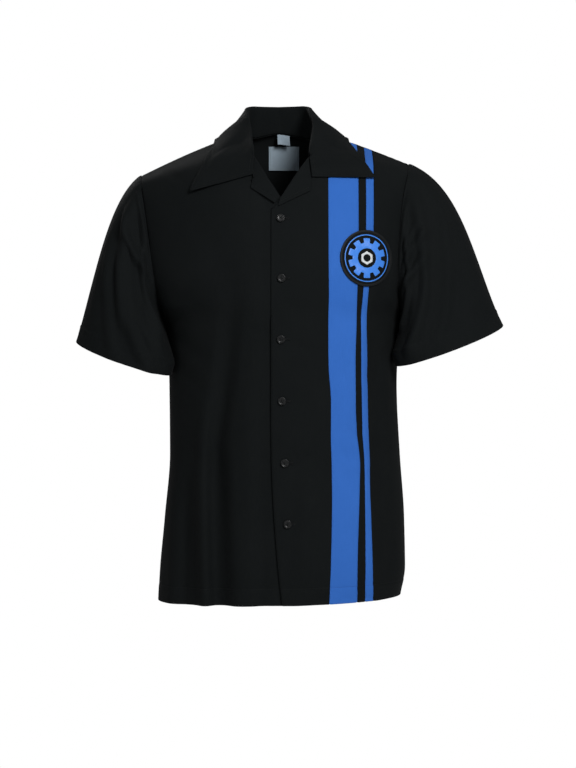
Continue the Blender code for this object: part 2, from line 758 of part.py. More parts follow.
def collar_section(sign, share):
    """The middle line of the collar's wall there: up from the seam, over the roll, and down over the shirt."""
    row = READ_COLLAR(share)
    side = "back" if share < COLLAR[3].share else "front"
    place = neck_place(side, sign, min(row.neck, 1))
    seam = body_point(*place) - body_normal(*place) * CLOTH / 2
    fold, edge = fold_point(sign, share), edge_point(sign, share)
    up = (fold - seam).normalized()
    seam = seam + up * STAND_GAP
    out = edge - fold
    out = (out - up * out.dot(up)).normalized()
    middle = fold - up * row.roll
    stand_top = middle - out * row.roll
    section = [seam.lerp(stand_top, way) for way in (0, 0.5, 1)]
    for turn in (45, 90, 135):
        angle = math.radians(turn)
        section.append(middle - out * row.roll * math.cos(angle) + up * row.roll * math.sin(angle))
    fall_top = middle + out * row.roll
    down = (edge - fall_top).normalized()
    bulge = (up - down * up.dot(down)).normalized() * FALL_PUFF * ridge_at(share)
    for way in spread(FALL_STEPS):
        straight = fall_top.lerp(edge, way) + bulge * math.sin(math.pi * way)
        section.append(pushed_clear(straight, collar_lift(share, way)) if way else straight)
    return section


def make_collar(black):
    shares = spread(COLLAR_STATIONS)
    shares = sorted(set(shares) - {min(shares, key=lambda share: abs(share - TIP_SHARE))} | {TIP_SHARE, *RIDGE_SHARES})
    lines = [collar_section(-1, share) for share in reversed(shares)]
    lines += [collar_section(1, share) for share in shares[1:]]
    outer, inner = [], []
    for i, line in enumerate(lines):
        outer_row, inner_row = [], []
        for j, point in enumerate(line):
            along = lines[min(i + 1, len(lines) - 1)][j] - lines[max(i - 1, 0)][j]
            up = line[min(j + 1, len(line) - 1)] - line[max(j - 1, 0)]
            normal = along.cross(up).normalized()
            outer_row.append(point + normal * COLLAR_WALL / 2)
            inner_row.append(point - normal * COLLAR_WALL / 2)
        outer.append(outer_row)
        inner.append(inner_row)
    return wall("collar", outer, inner, black)


# ---------------------------------------------------------------- lapels, patch and label

# The turned-out top of each front: down the roll line inside, and out to its notch and corner.
Lapel = namedtuple("Lapel", "roll_x roll_z foot_x foot_z tip_x tip_z corner_x corner_z notch_x notch_z")
LAPELS = {
    -1: Lapel(-0.0378, -0.0370, 0.0000, -0.1030, -0.0060, -0.1120, -0.0425, -0.0885, -0.0376, -0.0690),
    1: Lapel(0.0455, -0.0390, 0.0032, -0.1040, 0.0000, -0.1170, 0.0482, -0.0934, 0.0485, -0.0735),
}
LAPEL_ROWS, LAPEL_COLUMNS, CORNER_ROW = 9, 4, 3
LAPEL_LIFT = 0.0006
LAPEL_PUFF = 0.0012  # how much more the roll stands off, half way down


def make_lapel(name, sign, black):
    lapel = LAPELS[sign]
    outer, inner = [], []
    for row in range(LAPEL_ROWS + 1):
        down = row / LAPEL_ROWS
        inside = along_line((lapel.roll_x, lapel.roll_z), (lapel.foot_x, lapel.foot_z), down)
        if row <= CORNER_ROW:
            way = row / CORNER_ROW
            a, b = (lapel.notch_x, lapel.notch_z), (lapel.corner_x, lapel.corner_z)
        else:
            way = (row - CORNER_ROW) / (LAPEL_ROWS - CORNER_ROW)
            a, b = (lapel.corner_x, lapel.corner_z), (lapel.tip_x, lapel.tip_z)
        outside = along_line(a, b, way)
        outer_row, inner_row = [], []
        for across in spread(LAPEL_COLUMNS):
            x, z = along_line(inside, outside, across)
            puff = LAPEL_LIFT + LAPEL_PUFF * (1 - across) * math.sin(math.pi * down)
            inner_row.append(laid("front", x, z, puff))
            outer_row.append(laid("front", x, z, puff + FACED_WALL))
        outer.append(outer_row)
        inner.append(inner_row)
    return wall(name, outer, inner, black)


def make_patch(finish):
    """A round patch that lies over the stripes, thickest in the middle and bound at its rim."""
    outer, inner = [], []
    for share in (0.0, 0.4, 0.72, 0.90, 1.0):
        outer_row, inner_row = [], []
        for step in range(PATCH_SIDES):
            angle = 2 * math.pi * step / PATCH_SIDES
            x = PATCH_X + PATCH_TURN * PATCH_RADIUS * share * math.cos(angle)
            z = PATCH_Z + PATCH_RADIUS * share * math.sin(angle)
            thick = PATCH_WALL if share < 1 else PATCH_RIM_WALL
            outer_row.append(laid("front", x, z, PATCH_GAP + thick))
            inner_row.append(laid("front", x, z, PATCH_GAP))
        outer.append(outer_row)
        inner.append(inner_row)
    return disc("chest_patch", outer, inner, finish)


def disc(name, outer, inner, finish):
    """A closed round wall from rings of points, the first of which is a single point."""
    mesh = bmesh.new()
    sheets = []
    for rings in (outer, inner):
        middle = mesh.verts.new(rings[0][0])
        sheets.append((middle, [[mesh.verts.new(point) for point in ring] for ring in rings[1:]]))
    count = len(outer[0])
    for i in range(count):
        j = (i + 1) % count
        for middle, rings in sheets:
            mesh.faces.new((middle, rings[0][i], rings[0][j]))
            for near, far in zip(rings, rings[1:]):
                mesh.faces.new((near[i], far[i], far[j], near[j]))
        a, b = sheets[0][1][-1], sheets[1][1][-1]
        mesh.faces.new((a[i], b[i], b[j], a[j]))
    return solid_from(name, mesh, finish)


def solid_from(name, made_of, finish):
    bmesh.ops.recalc_face_normals(made_of, faces=made_of.faces)
    if made_of.calc_volume(signed=True) < 0:
        bmesh.ops.reverse_faces(made_of, faces=made_of.faces)
    mesh = bpy.data.meshes.new(name)
    made_of.to_mesh(mesh)
    made_of.free()
    mesh.materials.append(finish)
    mesh.shade_smooth()
    mesh.set_sharp_from_angle(angle=math.radians(40))
    made = bpy.data.objects.new(name, mesh)
    bpy.context.scene.collection.objects.link(made)
    return made


def make_label(finish):
    outer, inner = [], []
    for up in spread(5):
        outer_row, inner_row = [], []
        for across in spread(7):
            x = LABEL_X + LABEL_WIDTH * (across - 0.5)
            z = LABEL_Z + LABEL_HEIGHT * (up - 0.5)
            outer_row.append(laid("back", x, z, -CLOTH - LABEL_GAP))
            inner_row.append(laid("back", x, z, -CLOTH - LABEL_GAP - LABEL_WALL))
        outer.append(outer_row)
        inner.append(inner_row)
    return wall("neck_label", outer, inner, finish)


# ---------------------------------------------------------------- buttons


def make_button(number, x, z, finish):
    """A turned button with a raised rim and four holes, facing out from the cloth."""
    profile = (
        (BUTTON_RADIUS - BUTTON_EDGE, 0.0),
        (BUTTON_RADIUS, BUTTON_EDGE),
        (BUTTON_RADIUS, BUTTON_HEIGHT - BUTTON_EDGE),
        (BUTTON_RADIUS - BUTTON_EDGE, BUTTON_HEIGHT),
        (BUTTON_RADIUS - BUTTON_RIM, BUTTON_HEIGHT),
        (BUTTON_RADIUS - BUTTON_RIM - BUTTON_EDGE, BUTTON_FLOOR),
    )
    mesh = bmesh.new()
    rings = []
    for radius, height in profile:
        ring = []
        for step in range(BUTTON_SIDES):
            angle = 2 * math.pi * step / BUTTON_SIDES
            ring.append(mesh.verts.new((radius * math.cos(angle), radius * math.sin(angle), height)))
        rings.append(ring)
    for low, high in zip(rings, rings[1:]):
        for i in range(BUTTON_SIDES):
            j = (i + 1) % BUTTON_SIDES
            mesh.faces.new((low[i], low[j], high[j], high[i]))
    mesh.faces.new(list(reversed(rings[0])))
    mesh.faces.new(rings[-1])
    name = f"button_{number}"
    button = solid_from(name, mesh, finish)
    for i, (dx, dy) in enumerate(((1, 1), (-1, 1), (-1, -1), (1, -1))):
        drill = bmesh.new()
        place = Matrix.Translation((dx * BUTTON_HOLE_OFFSET, dy * BUTTON_HOLE_OFFSET, BUTTON_HEIGHT / 2))
        bmesh.ops.create_cone(
            drill,
            cap_ends=True,
            segments=DRILL_SIDES,
            radius1=BUTTON_HOLE,
            radius2=BUTTON_HOLE,
            depth=3 * BUTTON_HEIGHT,
            matrix=place,
        )
        cutter = solid_from(f"{name}_drill_{i + 1}", drill, finish)
        cutter.hide_render = True
        cutter.display_type = "WIRE"
        cutter.parent = button
        cut = button.modifiers.new(f"hole_{i + 1}", "BOOLEAN")
        cut.operation = "DIFFERENCE"
        cut.solver = "EXACT"
        cut.object = cutter
    across, level = place_on("front", x, z)
    normal = body_normal("front", across, level)
    button.location = body_point("front", across, level) + normal * BUTTON_STAND
    button.rotation_euler = normal.to_track_quat("Z", "Y").to_euler()
    return button


# ---------------------------------------------------------------- run


def main():
    for old in list(bpy.data.objects):
        bpy.data.objects.remove(old)
    black = material("black_twill", (0.010, 0.011, 0.012), 0.85)
    blue = material("blue_twill", (0.035, 0.10, 0.40), 0.8)
    make_fronts(black, blue)
    make_back(black)
    make_sleeve("sleeve_right", -1, black)
    make_sleeve("sleeve_left", 1, black)
    make_collar(black)
    make_lapel("lapel_right", -1, black)
    make_lapel("lapel_left", 1, black)
    make_patch(black)
    make_label(material("label_satin", (0.30, 0.37, 0.42), 0.6))
    horn = material("button_horn", (0.012, 0.012, 0.013), 0.3)
    for number, (x, z) in enumerate(BUTTONS, 1):
        make_button(number, x, z, horn)


main()
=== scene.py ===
# %% [markdown]
# # A mechanic shirt, as it is worn
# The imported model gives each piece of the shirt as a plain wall. In this lesson every piece is sewn again
# as real cloth on the same form: finer, with the creases of wear, hems, seams, topstitching, buttons and a
# patch.
#
# All lengths are in metres, +Z is up and the front faces -Y, so the wearer's left side is at +X.

# %% Setting up
import json
import math

import bpy
import numpy as np
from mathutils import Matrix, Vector

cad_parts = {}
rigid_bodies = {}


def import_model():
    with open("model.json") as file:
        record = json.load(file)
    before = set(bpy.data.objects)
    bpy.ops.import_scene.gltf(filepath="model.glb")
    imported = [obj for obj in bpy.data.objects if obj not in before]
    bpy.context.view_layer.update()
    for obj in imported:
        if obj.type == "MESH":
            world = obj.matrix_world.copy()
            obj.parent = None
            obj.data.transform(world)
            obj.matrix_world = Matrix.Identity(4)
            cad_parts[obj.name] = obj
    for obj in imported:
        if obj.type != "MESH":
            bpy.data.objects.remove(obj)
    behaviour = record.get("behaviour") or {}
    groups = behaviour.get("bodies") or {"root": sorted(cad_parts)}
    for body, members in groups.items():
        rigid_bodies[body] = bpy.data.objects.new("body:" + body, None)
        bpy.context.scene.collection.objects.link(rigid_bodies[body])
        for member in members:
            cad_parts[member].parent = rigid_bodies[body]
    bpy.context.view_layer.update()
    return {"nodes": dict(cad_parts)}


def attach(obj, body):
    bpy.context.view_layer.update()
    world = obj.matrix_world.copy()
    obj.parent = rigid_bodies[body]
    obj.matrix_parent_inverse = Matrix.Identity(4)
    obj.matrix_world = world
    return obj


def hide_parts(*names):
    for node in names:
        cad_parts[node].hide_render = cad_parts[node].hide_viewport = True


for left_over in list(bpy.data.objects):
    bpy.data.objects.remove(left_over)
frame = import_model()
print("packed nodes:", ", ".join(sorted(frame["nodes"])))

# %% [markdown]
# ## 1. The worn form, as tables
# One row for each level, from the hem up: the middle of the row, its ends at the wearer's right and left,
# and the angle through which the row turns from its middle to its end. They are the tables that the CAD
# model is made from. The form could be sculpted by hand too. Tables were chosen because each number in them
# is a size that a reader can change.

# %% The worn form, as tables
UNDERARM, CHEST, SHOULDER = 5, 7, 11  # levels
# z_mid, y_mid, x_right, x_left, y_end, z_right, z_left, turn
FRONT = [
    (-0.7275, -0.146, 0.1925, 0.1940, 0.000, -0.733, -0.724, 90),  # hem
    (-0.680, -0.147, 0.1900, 0.2020, 0.000, -0.680, -0.678, 90),
    (-0.600, -0.144, 0.1825, 0.2000, 0.000, -0.600, -0.600, 90),  # hip
    (-0.500, -0.139, 0.1740, 0.1930, 0.000, -0.500, -0.500, 90),  # waist
    (-0.390, -0.139, 0.1750, 0.1880, 0.000, -0.390, -0.390, 90),  # ribs
    (-0.300, -0.142, 0.1820, 0.1930, 0.000, -0.300, -0.292, 90),  # underarm
    (-0.252, -0.144, 0.1890, 0.1900, -0.045, -0.268, -0.258, 82),
    (-0.200, -0.143, 0.1965, 0.1870, -0.066, -0.220, -0.208, 74),  # chest
    (-0.145, -0.136, 0.2045, 0.1900, -0.060, -0.168, -0.156, 66),
    (-0.085, -0.120, 0.2125, 0.1965, -0.049, -0.112, -0.096, 60),
    (-0.030, -0.082, 0.2185, 0.2045, -0.031, -0.075, -0.058, 54),
    (0.0275, 0.010, 0.2205, 0.2080, 0.003, -0.056, -0.038, 45),  # shoulder seam
]
BACK = [
    (-0.7290, 0.142, 0.1925, 0.1940, 0.000, -0.733, -0.724, 90),
    (-0.680, 0.142, 0.1900, 0.2020, 0.000, -0.680, -0.678, 90),
    (-0.600, 0.135, 0.1825, 0.2000, 0.000, -0.600, -0.600, 90),
    (-0.500, 0.125, 0.1740, 0.1930, 0.000, -0.500, -0.500, 90),
    (-0.390, 0.123, 0.1750, 0.1880, 0.000, -0.390, -0.390, 90),
    (-0.300, 0.131, 0.1820, 0.1930, 0.000, -0.300, -0.292, 90),
    (-0.248, 0.136, 0.1900, 0.1950, 0.048, -0.266, -0.256, 82),
    (-0.185, 0.137, 0.1990, 0.1950, 0.070, -0.212, -0.202, 74),  # shoulder blades
    (-0.115, 0.130, 0.2070, 0.1980, 0.068, -0.162, -0.150, 66),
    (-0.045, 0.110, 0.2145, 0.2020, 0.057, -0.110, -0.094, 60),
    (0.020, 0.084, 0.2190, 0.2060, 0.037, -0.075, -0.058, 54),
    (0.0275, 0.010, 0.2205, 0.2080, 0.003, -0.056, -0.038, 45),
]
NECK_MID, NECK_HALF = 0.004, 0.070
V_LEVEL, CORNER_DROP, CORNER_REACH = 8.68, 0.26, 0.0125
SLOPE_POWER = 1.35
# share of the way from the middle of the neck to the neck point, level
FRONT_NECK = [(0, V_LEVEL), (0.60, 9.90), (0.83, 10.50), (1, SHOULDER)]
BACK_NECK = [(0, 10.12), (0.50, 10.17), (0.80, 10.45), (1, SHOULDER)]
# z, then x of the left front's edge and of both edges of the wide and of the narrow stripe
LINES = [
    (-0.728, 0.0053, 0.0780, 0.1213, 0.1338, 0.1461),
    (-0.660, -0.0020, 0.0805, 0.1220, 0.1345, 0.1454),
    (-0.560, -0.0090, 0.0822, 0.1253, 0.1341, 0.1433),
    (-0.515, -0.0107, 0.0818, 0.1263, 0.1336, 0.1438),
    (-0.470, -0.0115, 0.0806, 0.1222, 0.1306, 0.1416),
    (-0.420, -0.0118, 0.0808, 0.1184, 0.1288, 0.1397),
    (-0.357, -0.0118, 0.0767, 0.1174, 0.1272, 0.1388),
    (-0.300, -0.0118, 0.0763, 0.1200, 0.1272, 0.1369),
    (-0.247, -0.0117, 0.0772, 0.1214, 0.1306, 0.1390),
    (-0.190, -0.0116, 0.0768, 0.1237, 0.1348, 0.1458),
    (-0.100, -0.0116, 0.0768, 0.1240, 0.1360, 0.1482),
    (0.030, -0.0116, 0.0768, 0.1250, 0.1365, 0.1492),
]
EDGE, WIDE_IN, WIDE_OUT, NARROW_IN, NARROW_OUT = range(1, 6)  # columns of LINES
RIGHT_EDGE = 0.0310  # how far the right front's own edge lies beyond the left front's
UNDERLAP_DROP = 0.0024  # how far the right front passes under the left one
# the largest folds of each side: x and z of the top, x and z of the foot, width, depth
FOLDS = {
    "front": [
        (-0.0710, -0.270, -0.0940, -0.490, 0.024, 0.0070),
        (-0.0940, -0.490, -0.0820, -0.760, 0.028, 0.0090),
        (-0.1420, -0.520, -0.1380, -0.760, 0.020, 0.0050),
        (-0.1160, -0.420, -0.1140, -0.760, 0.020, -0.0040),
        (-0.0480, -0.400, -0.0440, -0.760, 0.022, -0.0035),
        (0.1500, -0.330, 0.1560, -0.600, 0.022, 0.0050),
        (0.0500, -0.500, 0.0300, -0.760, 0.024, -0.0030),
        (0.1180, -0.300, 0.1080, -0.470, 0.026, -0.0045),
    ],
    "back": [
        (-0.0900, -0.160, -0.0980, -0.760, 0.030, 0.0090),
        (-0.0450, -0.330, -0.0480, -0.760, 0.026, -0.0050),
        (0.0100, -0.420, 0.0040, -0.760, 0.026, 0.0055),
        (0.0560, -0.300, 0.0540, -0.760, 0.026, -0.0050),
        (0.1060, -0.180, 0.1080, -0.760, 0.030, 0.0085),
    ],
}
FOLD_RUN_IN, FOLD_TURN = 0.070, 0.35
print(len(FRONT), "levels,", sum(map(len, FOLDS.values())), "folds")

# %% [markdown]
# ## 2. Reading the tables smoothly
# A reader passes a smooth curve through every column of a table and never overshoots it. Everything here
# works on whole arrays at once, so that fine cloth is quick to make. Straight steps between the rows would
# show as bands on the cloth, and a plain spline can swing past a row.


# %% Reading the tables smoothly
def stack(*parts):
    return np.stack(np.broadcast_arrays(*parts), axis=-1)


def reader(places, rows):
    places, rows = np.array(places, float), np.array(rows, float)
    steps = np.diff(rows, axis=0) / np.diff(places)[:, None]
    a, b = steps[:-1], steps[1:]
    same_way = a * b > 0
    middle = np.where(same_way, 2 * a * b / np.where(same_way, a + b, 1), 0)
    slopes = np.vstack([steps[:1], middle, steps[-1:]])

    def read(place):
        place = np.clip(place, places[0], places[-1])
        i = np.clip(np.searchsorted(places, place, side="right") - 1, 0, len(places) - 2)
        length = (places[i + 1] - places[i])[..., None]
        t = (place - places[i])[..., None] / length
        return (
            (2 * t**3 - 3 * t**2 + 1) * rows[i]
            + (t**3 - 2 * t**2 + t) * length * slopes[i]
            + (3 * t**2 - 2 * t**3) * rows[i + 1]
            + (t**3 - t**2) * length * slopes[i + 1]
        )

    return read


def smooth(t):
    t = np.clip(t, 0.0, 1.0)
    return t * t * (3 - 2 * t)


def bell(t):
    return np.exp(-(t**2))


def unit(v):
    return v / np.maximum(np.linalg.norm(v, axis=-1, keepdims=True), 1e-12)


def mix(a, b, share):
    return a + (b - a) * share


READ = {"front": reader(range(12), FRONT), "back": reader(range(12), BACK)}
NECK = {}
for side, rows in (("front", FRONT_NECK), ("back", BACK_NECK)):
    shares, levels = zip(*rows)
    NECK[side] = reader(shares, np.array(levels)[:, None])
LINE_AT = reader([row[0] for row in LINES], LINES)
print("waist row:", READ["front"](np.array(3.0)).round(3))

# %% [markdown]
# ## 3. The body of the shirt as one surface
# A place on the body is (side, across, level). across runs from -1 at the wearer's right to 1, and level
# from 0 at the hem to 11 at the shoulder seam. The panels of a real shirt are sewn into one tube round the
# wearer. Here they are all cut from one surface, so that neighbours meet along their seam.


# %% The body of the shirt as one surface
def plain_point(side, across, level):
    across, level = np.broadcast_arrays(np.asarray(across, float), np.asarray(level, float))
    z_mid, y_mid, x_right, x_left, y_end, z_right, z_left, turn = np.moveaxis(READ[side](level), -1, 0)
    left = across > 0
    z_end = np.where(left, z_left, z_right)
    turn = np.radians(turn)
    share = np.sin(np.abs(across) * turn) / np.sin(turn)
    bulge = (np.cos(np.abs(across) * turn) - np.cos(turn)) / (1 - np.cos(turn))
    return stack(
        np.sign(across) * share * np.where(left, x_left, x_right),
        y_end + (y_mid - y_end) * bulge,
        z_end + (z_mid - z_end) * (1 - share**SLOPE_POWER),
    )


def across_of(side, x, level):
    _, _, x_right, x_left, _, _, _, turn = np.moveaxis(READ[side](np.asarray(level, float)), -1, 0)
    turn = np.radians(turn)
    share = np.minimum(np.abs(x) / np.where(np.asarray(x) > 0, x_left, x_right) * np.sin(turn), np.sin(turn))
    return np.sign(x) * np.arcsin(share) / turn


def fold_depth(side, x, z):
    total = np.zeros(np.broadcast(x, z).shape)
    for x_top, z_top, x_foot, z_foot, width, depth in FOLDS[side]:
        share = np.clip((z_top - z) / (z_top - z_foot), 0, 1)
        away = np.abs(x - x_top - share * (x_foot - x_top)) / width
        ends = smooth((z_top + FOLD_RUN_IN - z) / (2 * FOLD_RUN_IN))
        if z_foot > FRONT[0][0]:
            ends = ends * smooth((z - z_foot) / FOLD_RUN_IN)
        total = total + depth * ends * (1 - smooth(away))
    return total


def body_point(side, across, level):
    point = plain_point(side, across, level)
    middle = plain_point(side, np.zeros_like(point[..., 0]), level)
    in_y = np.where(level < SHOULDER - 1, -point[..., 1], middle[..., 1] - point[..., 1])
    inwards = unit(stack(-FOLD_TURN * point[..., 0], in_y, 0 * in_y))
    return point + inwards * fold_depth(side, point[..., 0], point[..., 2])[..., None]


def own_normal(side, across, level):
    step, lift = 0.01, 0.02
    right, left = np.maximum(across - step, -1), np.minimum(across + step, 1)
    below, above = np.maximum(level - lift, 0), np.minimum(level + lift, SHOULDER)
    sideways = body_point(side, left, level) - body_point(side, right, level)
    upwards = body_point(side, across, above) - body_point(side, across, below)
    normal = unit(np.cross(sideways, upwards))
    return normal if side == "front" else -normal


def body_normal(side, across, level):
    """The outward direction, which front and back share along the shoulder seam."""
    across, level = np.broadcast_arrays(np.asarray(across, float), np.asarray(level, float))
    share = smooth(level - (SHOULDER - 1))[..., None]
    top = np.full(level.shape, float(SHOULDER))
    seam = unit(own_normal("front", across, top) + own_normal("back", across, top))
    return unit(own_normal(side, across, level) * (1 - share) + seam * share)


def level_of(side, across, z):
    low = np.zeros(np.broadcast(across, z).shape)
    high = np.full_like(low, float(SHOULDER))
    for _ in range(22):
        middle = (low + high) / 2
        below = plain_point(side, across, middle)[..., 2] < z
        low, high = np.where(below, middle, low), np.where(below, high, middle)
    return (low + high) / 2


def place_on(side, x, z):
    across = np.zeros(np.broadcast(x, z).shape)
    for _ in range(8):
        level = level_of(side, across, z)
        across = across_of(side, x, level)
    return across, level


def top_level(side, x):
    share = np.abs(x - NECK_MID) / NECK_HALF
    return np.where(share < 1, NECK[side](share)[..., 0], float(SHOULDER))


print("top of the front panel at the neck point:", body_point("front", 0.3, 11.0).round(4))

# %% [markdown]
# ## 4. Creases that wear puts in
# The solid has only the largest folds. Cloth also has soft creases. Each one is a short line of (x, z)
# points with a width and a depth at its deepest. Positive depths go in, negative ones stand out. They fade
# at both ends, apart from those that run out over the hem. A cloth simulation could make creases, but not
# in chosen places, so each one is listed.

# %% Creases that wear puts in
# points (x, z), width, depth
CREASES = {
    "front": [
        # right front: the long fold from the chest to the hem, sharper on its inner side
        ([(-0.074, -0.300), (-0.086, -0.385), (-0.099, -0.480),
          (-0.101, -0.540), (-0.099, -0.640), (-0.095, -0.735)], 0.012, 0.0088),
        ([(-0.056, -0.350), (-0.066, -0.440), (-0.068, -0.560), (-0.063, -0.735)], 0.013, -0.0040),
        ([(-0.112, -0.400), (-0.116, -0.520), (-0.112, -0.640), (-0.110, -0.735)], 0.012, -0.0036),
        ([(-0.144, -0.500), (-0.146, -0.600), (-0.150, -0.735)], 0.010, 0.0046),
        ([(-0.163, -0.490), (-0.166, -0.600), (-0.168, -0.735)], 0.009, -0.0026),
        ([(-0.130, -0.560), (-0.128, -0.650), (-0.124, -0.735)], 0.008, 0.0016),
        ([(-0.030, -0.470), (-0.034, -0.580), (-0.026, -0.735)], 0.013, 0.0013),
        # across the ribs and down from the underarm
        ([(-0.176, -0.300), (-0.130, -0.345), (-0.090, -0.362)], 0.012, 0.0016),
        ([(-0.172, -0.345), (-0.128, -0.392), (-0.098, -0.420)], 0.010, 0.0013),
        ([(-0.185, -0.250), (-0.140, -0.262), (-0.098, -0.292)], 0.014, 0.0013),
        ([(-0.168, -0.415), (-0.140, -0.470), (-0.128, -0.530)], 0.010, 0.0013),
        # drag lines below the collar's point and on the chest
        ([(-0.186, -0.052), (-0.160, -0.066), (-0.138, -0.078)], 0.008, 0.0016),
        ([(-0.176, -0.120), (-0.145, -0.128), (-0.105, -0.150)], 0.013, 0.0010),
        ([(-0.120, -0.150), (-0.085, -0.215), (-0.070, -0.275)], 0.016, 0.0012),
        ([(-0.060, -0.120), (-0.050, -0.190), (-0.052, -0.260)], 0.015, -0.0009),
        # pulls at the buttons
        ([(-0.050, -0.305), (-0.025, -0.312), (-0.012, -0.318)], 0.008, 0.0011),
        ([(0.052, -0.340), (0.028, -0.330), (0.012, -0.324)], 0.008, 0.0009),
        ([(0.056, -0.492), (0.034, -0.512), (0.015, -0.520)], 0.008, 0.0017),
        ([(0.070, -0.560), (0.040, -0.588), (0.022, -0.598)], 0.010, -0.0014),
        ([(-0.044, -0.500), (-0.022, -0.508), (-0.004, -0.512)], 0.008, 0.0010),
        ([(0.060, -0.405), (0.034, -0.430), (0.014, -0.470)], 0.012, 0.0010),
        ([(0.014, -0.620), (0.030, -0.660), (0.036, -0.735)], 0.010, 0.0014),
        # left front: the stripes lean in at the waist and ease out again at the hip
        ([(0.098, -0.330), (0.103, -0.400), (0.096, -0.470)], 0.010, 0.0014),
        ([(0.088, -0.452), (0.112, -0.470), (0.140, -0.462)], 0.010, 0.0010),
        ([(0.084, -0.500), (0.110, -0.520), (0.134, -0.512)], 0.010, -0.0012),
        ([(0.186, -0.320), (0.150, -0.372), (0.128, -0.392)], 0.011, 0.0017),
        ([(0.184, -0.420), (0.156, -0.452), (0.136, -0.462)], 0.010, 0.0014),
        ([(0.158, -0.400), (0.162, -0.500), (0.160, -0.610)], 0.010, 0.0018),
        ([(0.178, -0.560), (0.174, -0.650), (0.170, -0.720)], 0.011, 0.0013),
        ([(0.150, -0.600), (0.149, -0.680), (0.152, -0.735)], 0.010, -0.0012),
        ([(0.170, -0.170), (0.166, -0.240), (0.152, -0.300)], 0.012, 0.0015),
        ([(0.178, -0.125), (0.172, -0.190), (0.170, -0.240)], 0.009, 0.0012),
        ([(0.062, -0.640), (0.058, -0.690), (0.060, -0.735)], 0.012, 0.0010),
    ],
    "back": [
        # back: the same kinds of crease, from the shoulder blades and in the small of the back
        ([(-0.092, -0.190), (-0.100, -0.330), (-0.094, -0.480), (-0.102, -0.735)], 0.011, 0.0030),
        ([(0.104, -0.200), (0.110, -0.340), (0.106, -0.500), (0.112, -0.735)], 0.011, 0.0028),
        ([(-0.060, -0.300), (-0.054, -0.480), (-0.058, -0.735)], 0.013, -0.0018),
        ([(0.062, -0.310), (0.058, -0.470), (0.054, -0.735)], 0.013, -0.0018),
        ([(0.012, -0.440), (0.006, -0.560), (0.010, -0.735)], 0.011, 0.0020),
        ([(-0.140, -0.130), (-0.120, -0.190), (-0.106, -0.250)], 0.013, 0.0016),
        ([(0.145, -0.125), (0.126, -0.185), (0.112, -0.250)], 0.013, 0.0016),
        ([(-0.120, -0.400), (-0.060, -0.424), (0.000, -0.418)], 0.010, 0.0014),
        ([(0.116, -0.380), (0.060, -0.408), (0.015, -0.400)], 0.010, 0.0013),
        ([(-0.050, -0.468), (0.010, -0.478), (0.070, -0.462)], 0.012, 0.0012),
        ([(-0.165, -0.300), (-0.140, -0.350), (-0.118, -0.380)], 0.011, 0.0016),
        ([(0.165, -0.300), (0.142, -0.345), (0.120, -0.372)], 0.011, 0.0016),
        ([(-0.150, -0.520), (-0.148, -0.620), (-0.152, -0.735)], 0.011, 0.0017),
        ([(0.152, -0.500), (0.156, -0.610), (0.150, -0.735)], 0.011, 0.0017),
        ([(-0.070, -0.030), (-0.062, -0.075), (-0.068, -0.130)], 0.014, 0.0009),
        ([(0.080, -0.026), (0.070, -0.075), (0.078, -0.130)], 0.014, 0.0009),
    ],
}


DRIFT_DEPTH = 0.00055
HEM_Z, PAST_HEM_Z = -0.73, -0.95  # a crease that ends below the first runs on to the second


def line_profile(x, z, points, width):
    """How deep a crease is at x and z, from 0 to 1. It fades over the first and last third of its line."""
    points = np.array(points)
    steps = np.linalg.norm(np.diff(points, axis=0), axis=1)
    starts = np.concatenate([[0], np.cumsum(steps)])
    nearest, along = np.full(np.shape(x), 9.0), np.zeros(np.shape(x))
    for a, b, start, length in zip(points, points[1:], starts, steps):
        t = np.clip(((x - a[0]) * (b[0] - a[0]) + (z - a[1]) * (b[1] - a[1])) / length**2, 0, 1)
        away = np.hypot(x - a[0] - t * (b[0] - a[0]), z - a[1] - t * (b[1] - a[1]))
        closer = away < nearest
        nearest, along = np.where(closer, away, nearest), np.where(closer, start + t * length, along)
    share = along / starts[-1]
    return bell(nearest / width) * smooth(share * 3) * smooth((1 - share) * 3)



def drift(x, z, seed):
    """Slow, shallow unevenness, about one unit deep at most: cloth that is worn never lies quite even."""
    waves = np.random.default_rng(seed)
    total = 0
    for _ in range(7):
        kx, kz = waves.uniform(14, 60), waves.uniform(6, 34)
        total = total + np.sin(kx * x + waves.uniform(0, 6.3)) * np.sin(kz * z + waves.uniform(0, 6.3))
    return total / 4


def crease_depth(side, x, z):
    total = DRIFT_DEPTH * drift(x, z, 3 if side == "front" else 4)
    for points, width, depth in CREASES[side]:
        if points[-1][1] < HEM_Z:
            points = points + [(points[-1][0], PAST_HEM_Z)]
        total = total + depth * line_profile(x, z, points, width)
    return total


print(sum(map(len, CREASES.values())), "creases on the body")

# %% [markdown]
# ## 5. From a grid of points to a piece of cloth
# Every piece is a grid of points on its outer face. From it come a thickness, a rounded edge all round, and
# UVs in metres, so that the weave has its true size everywhere. A Solidify modifier could give the
# thickness. The rim is built here as well, because the edge of folded cloth is round.


# %% From a grid of points to a piece of cloth
def grid_normals(grid, ring=False):
    if ring:
        sideways = np.roll(grid, -1, 1) - np.roll(grid, 1, 1)
    else:
        sideways = np.gradient(grid, axis=1)
    return unit(np.cross(sideways, np.gradient(grid, axis=0)))


def metres_along(grid, axis):
    steps = np.linalg.norm(np.diff(grid, axis=axis), axis=-1)
    start = np.zeros_like(np.take(steps, [0], axis=axis))
    return np.concatenate([start, np.cumsum(steps, axis=axis)], axis=axis)


def edge_distance(grid):
    """Distances in metres to the left, right, bottom and top edges, along the cloth."""
    u, v = metres_along(grid, 1), metres_along(grid, 0)
    return u, u[:, -1:] - u, v, v[-1:, :] - v


SHIRT = bpy.data.collections.new("shirt")
bpy.context.scene.collection.children.link(SHIRT)


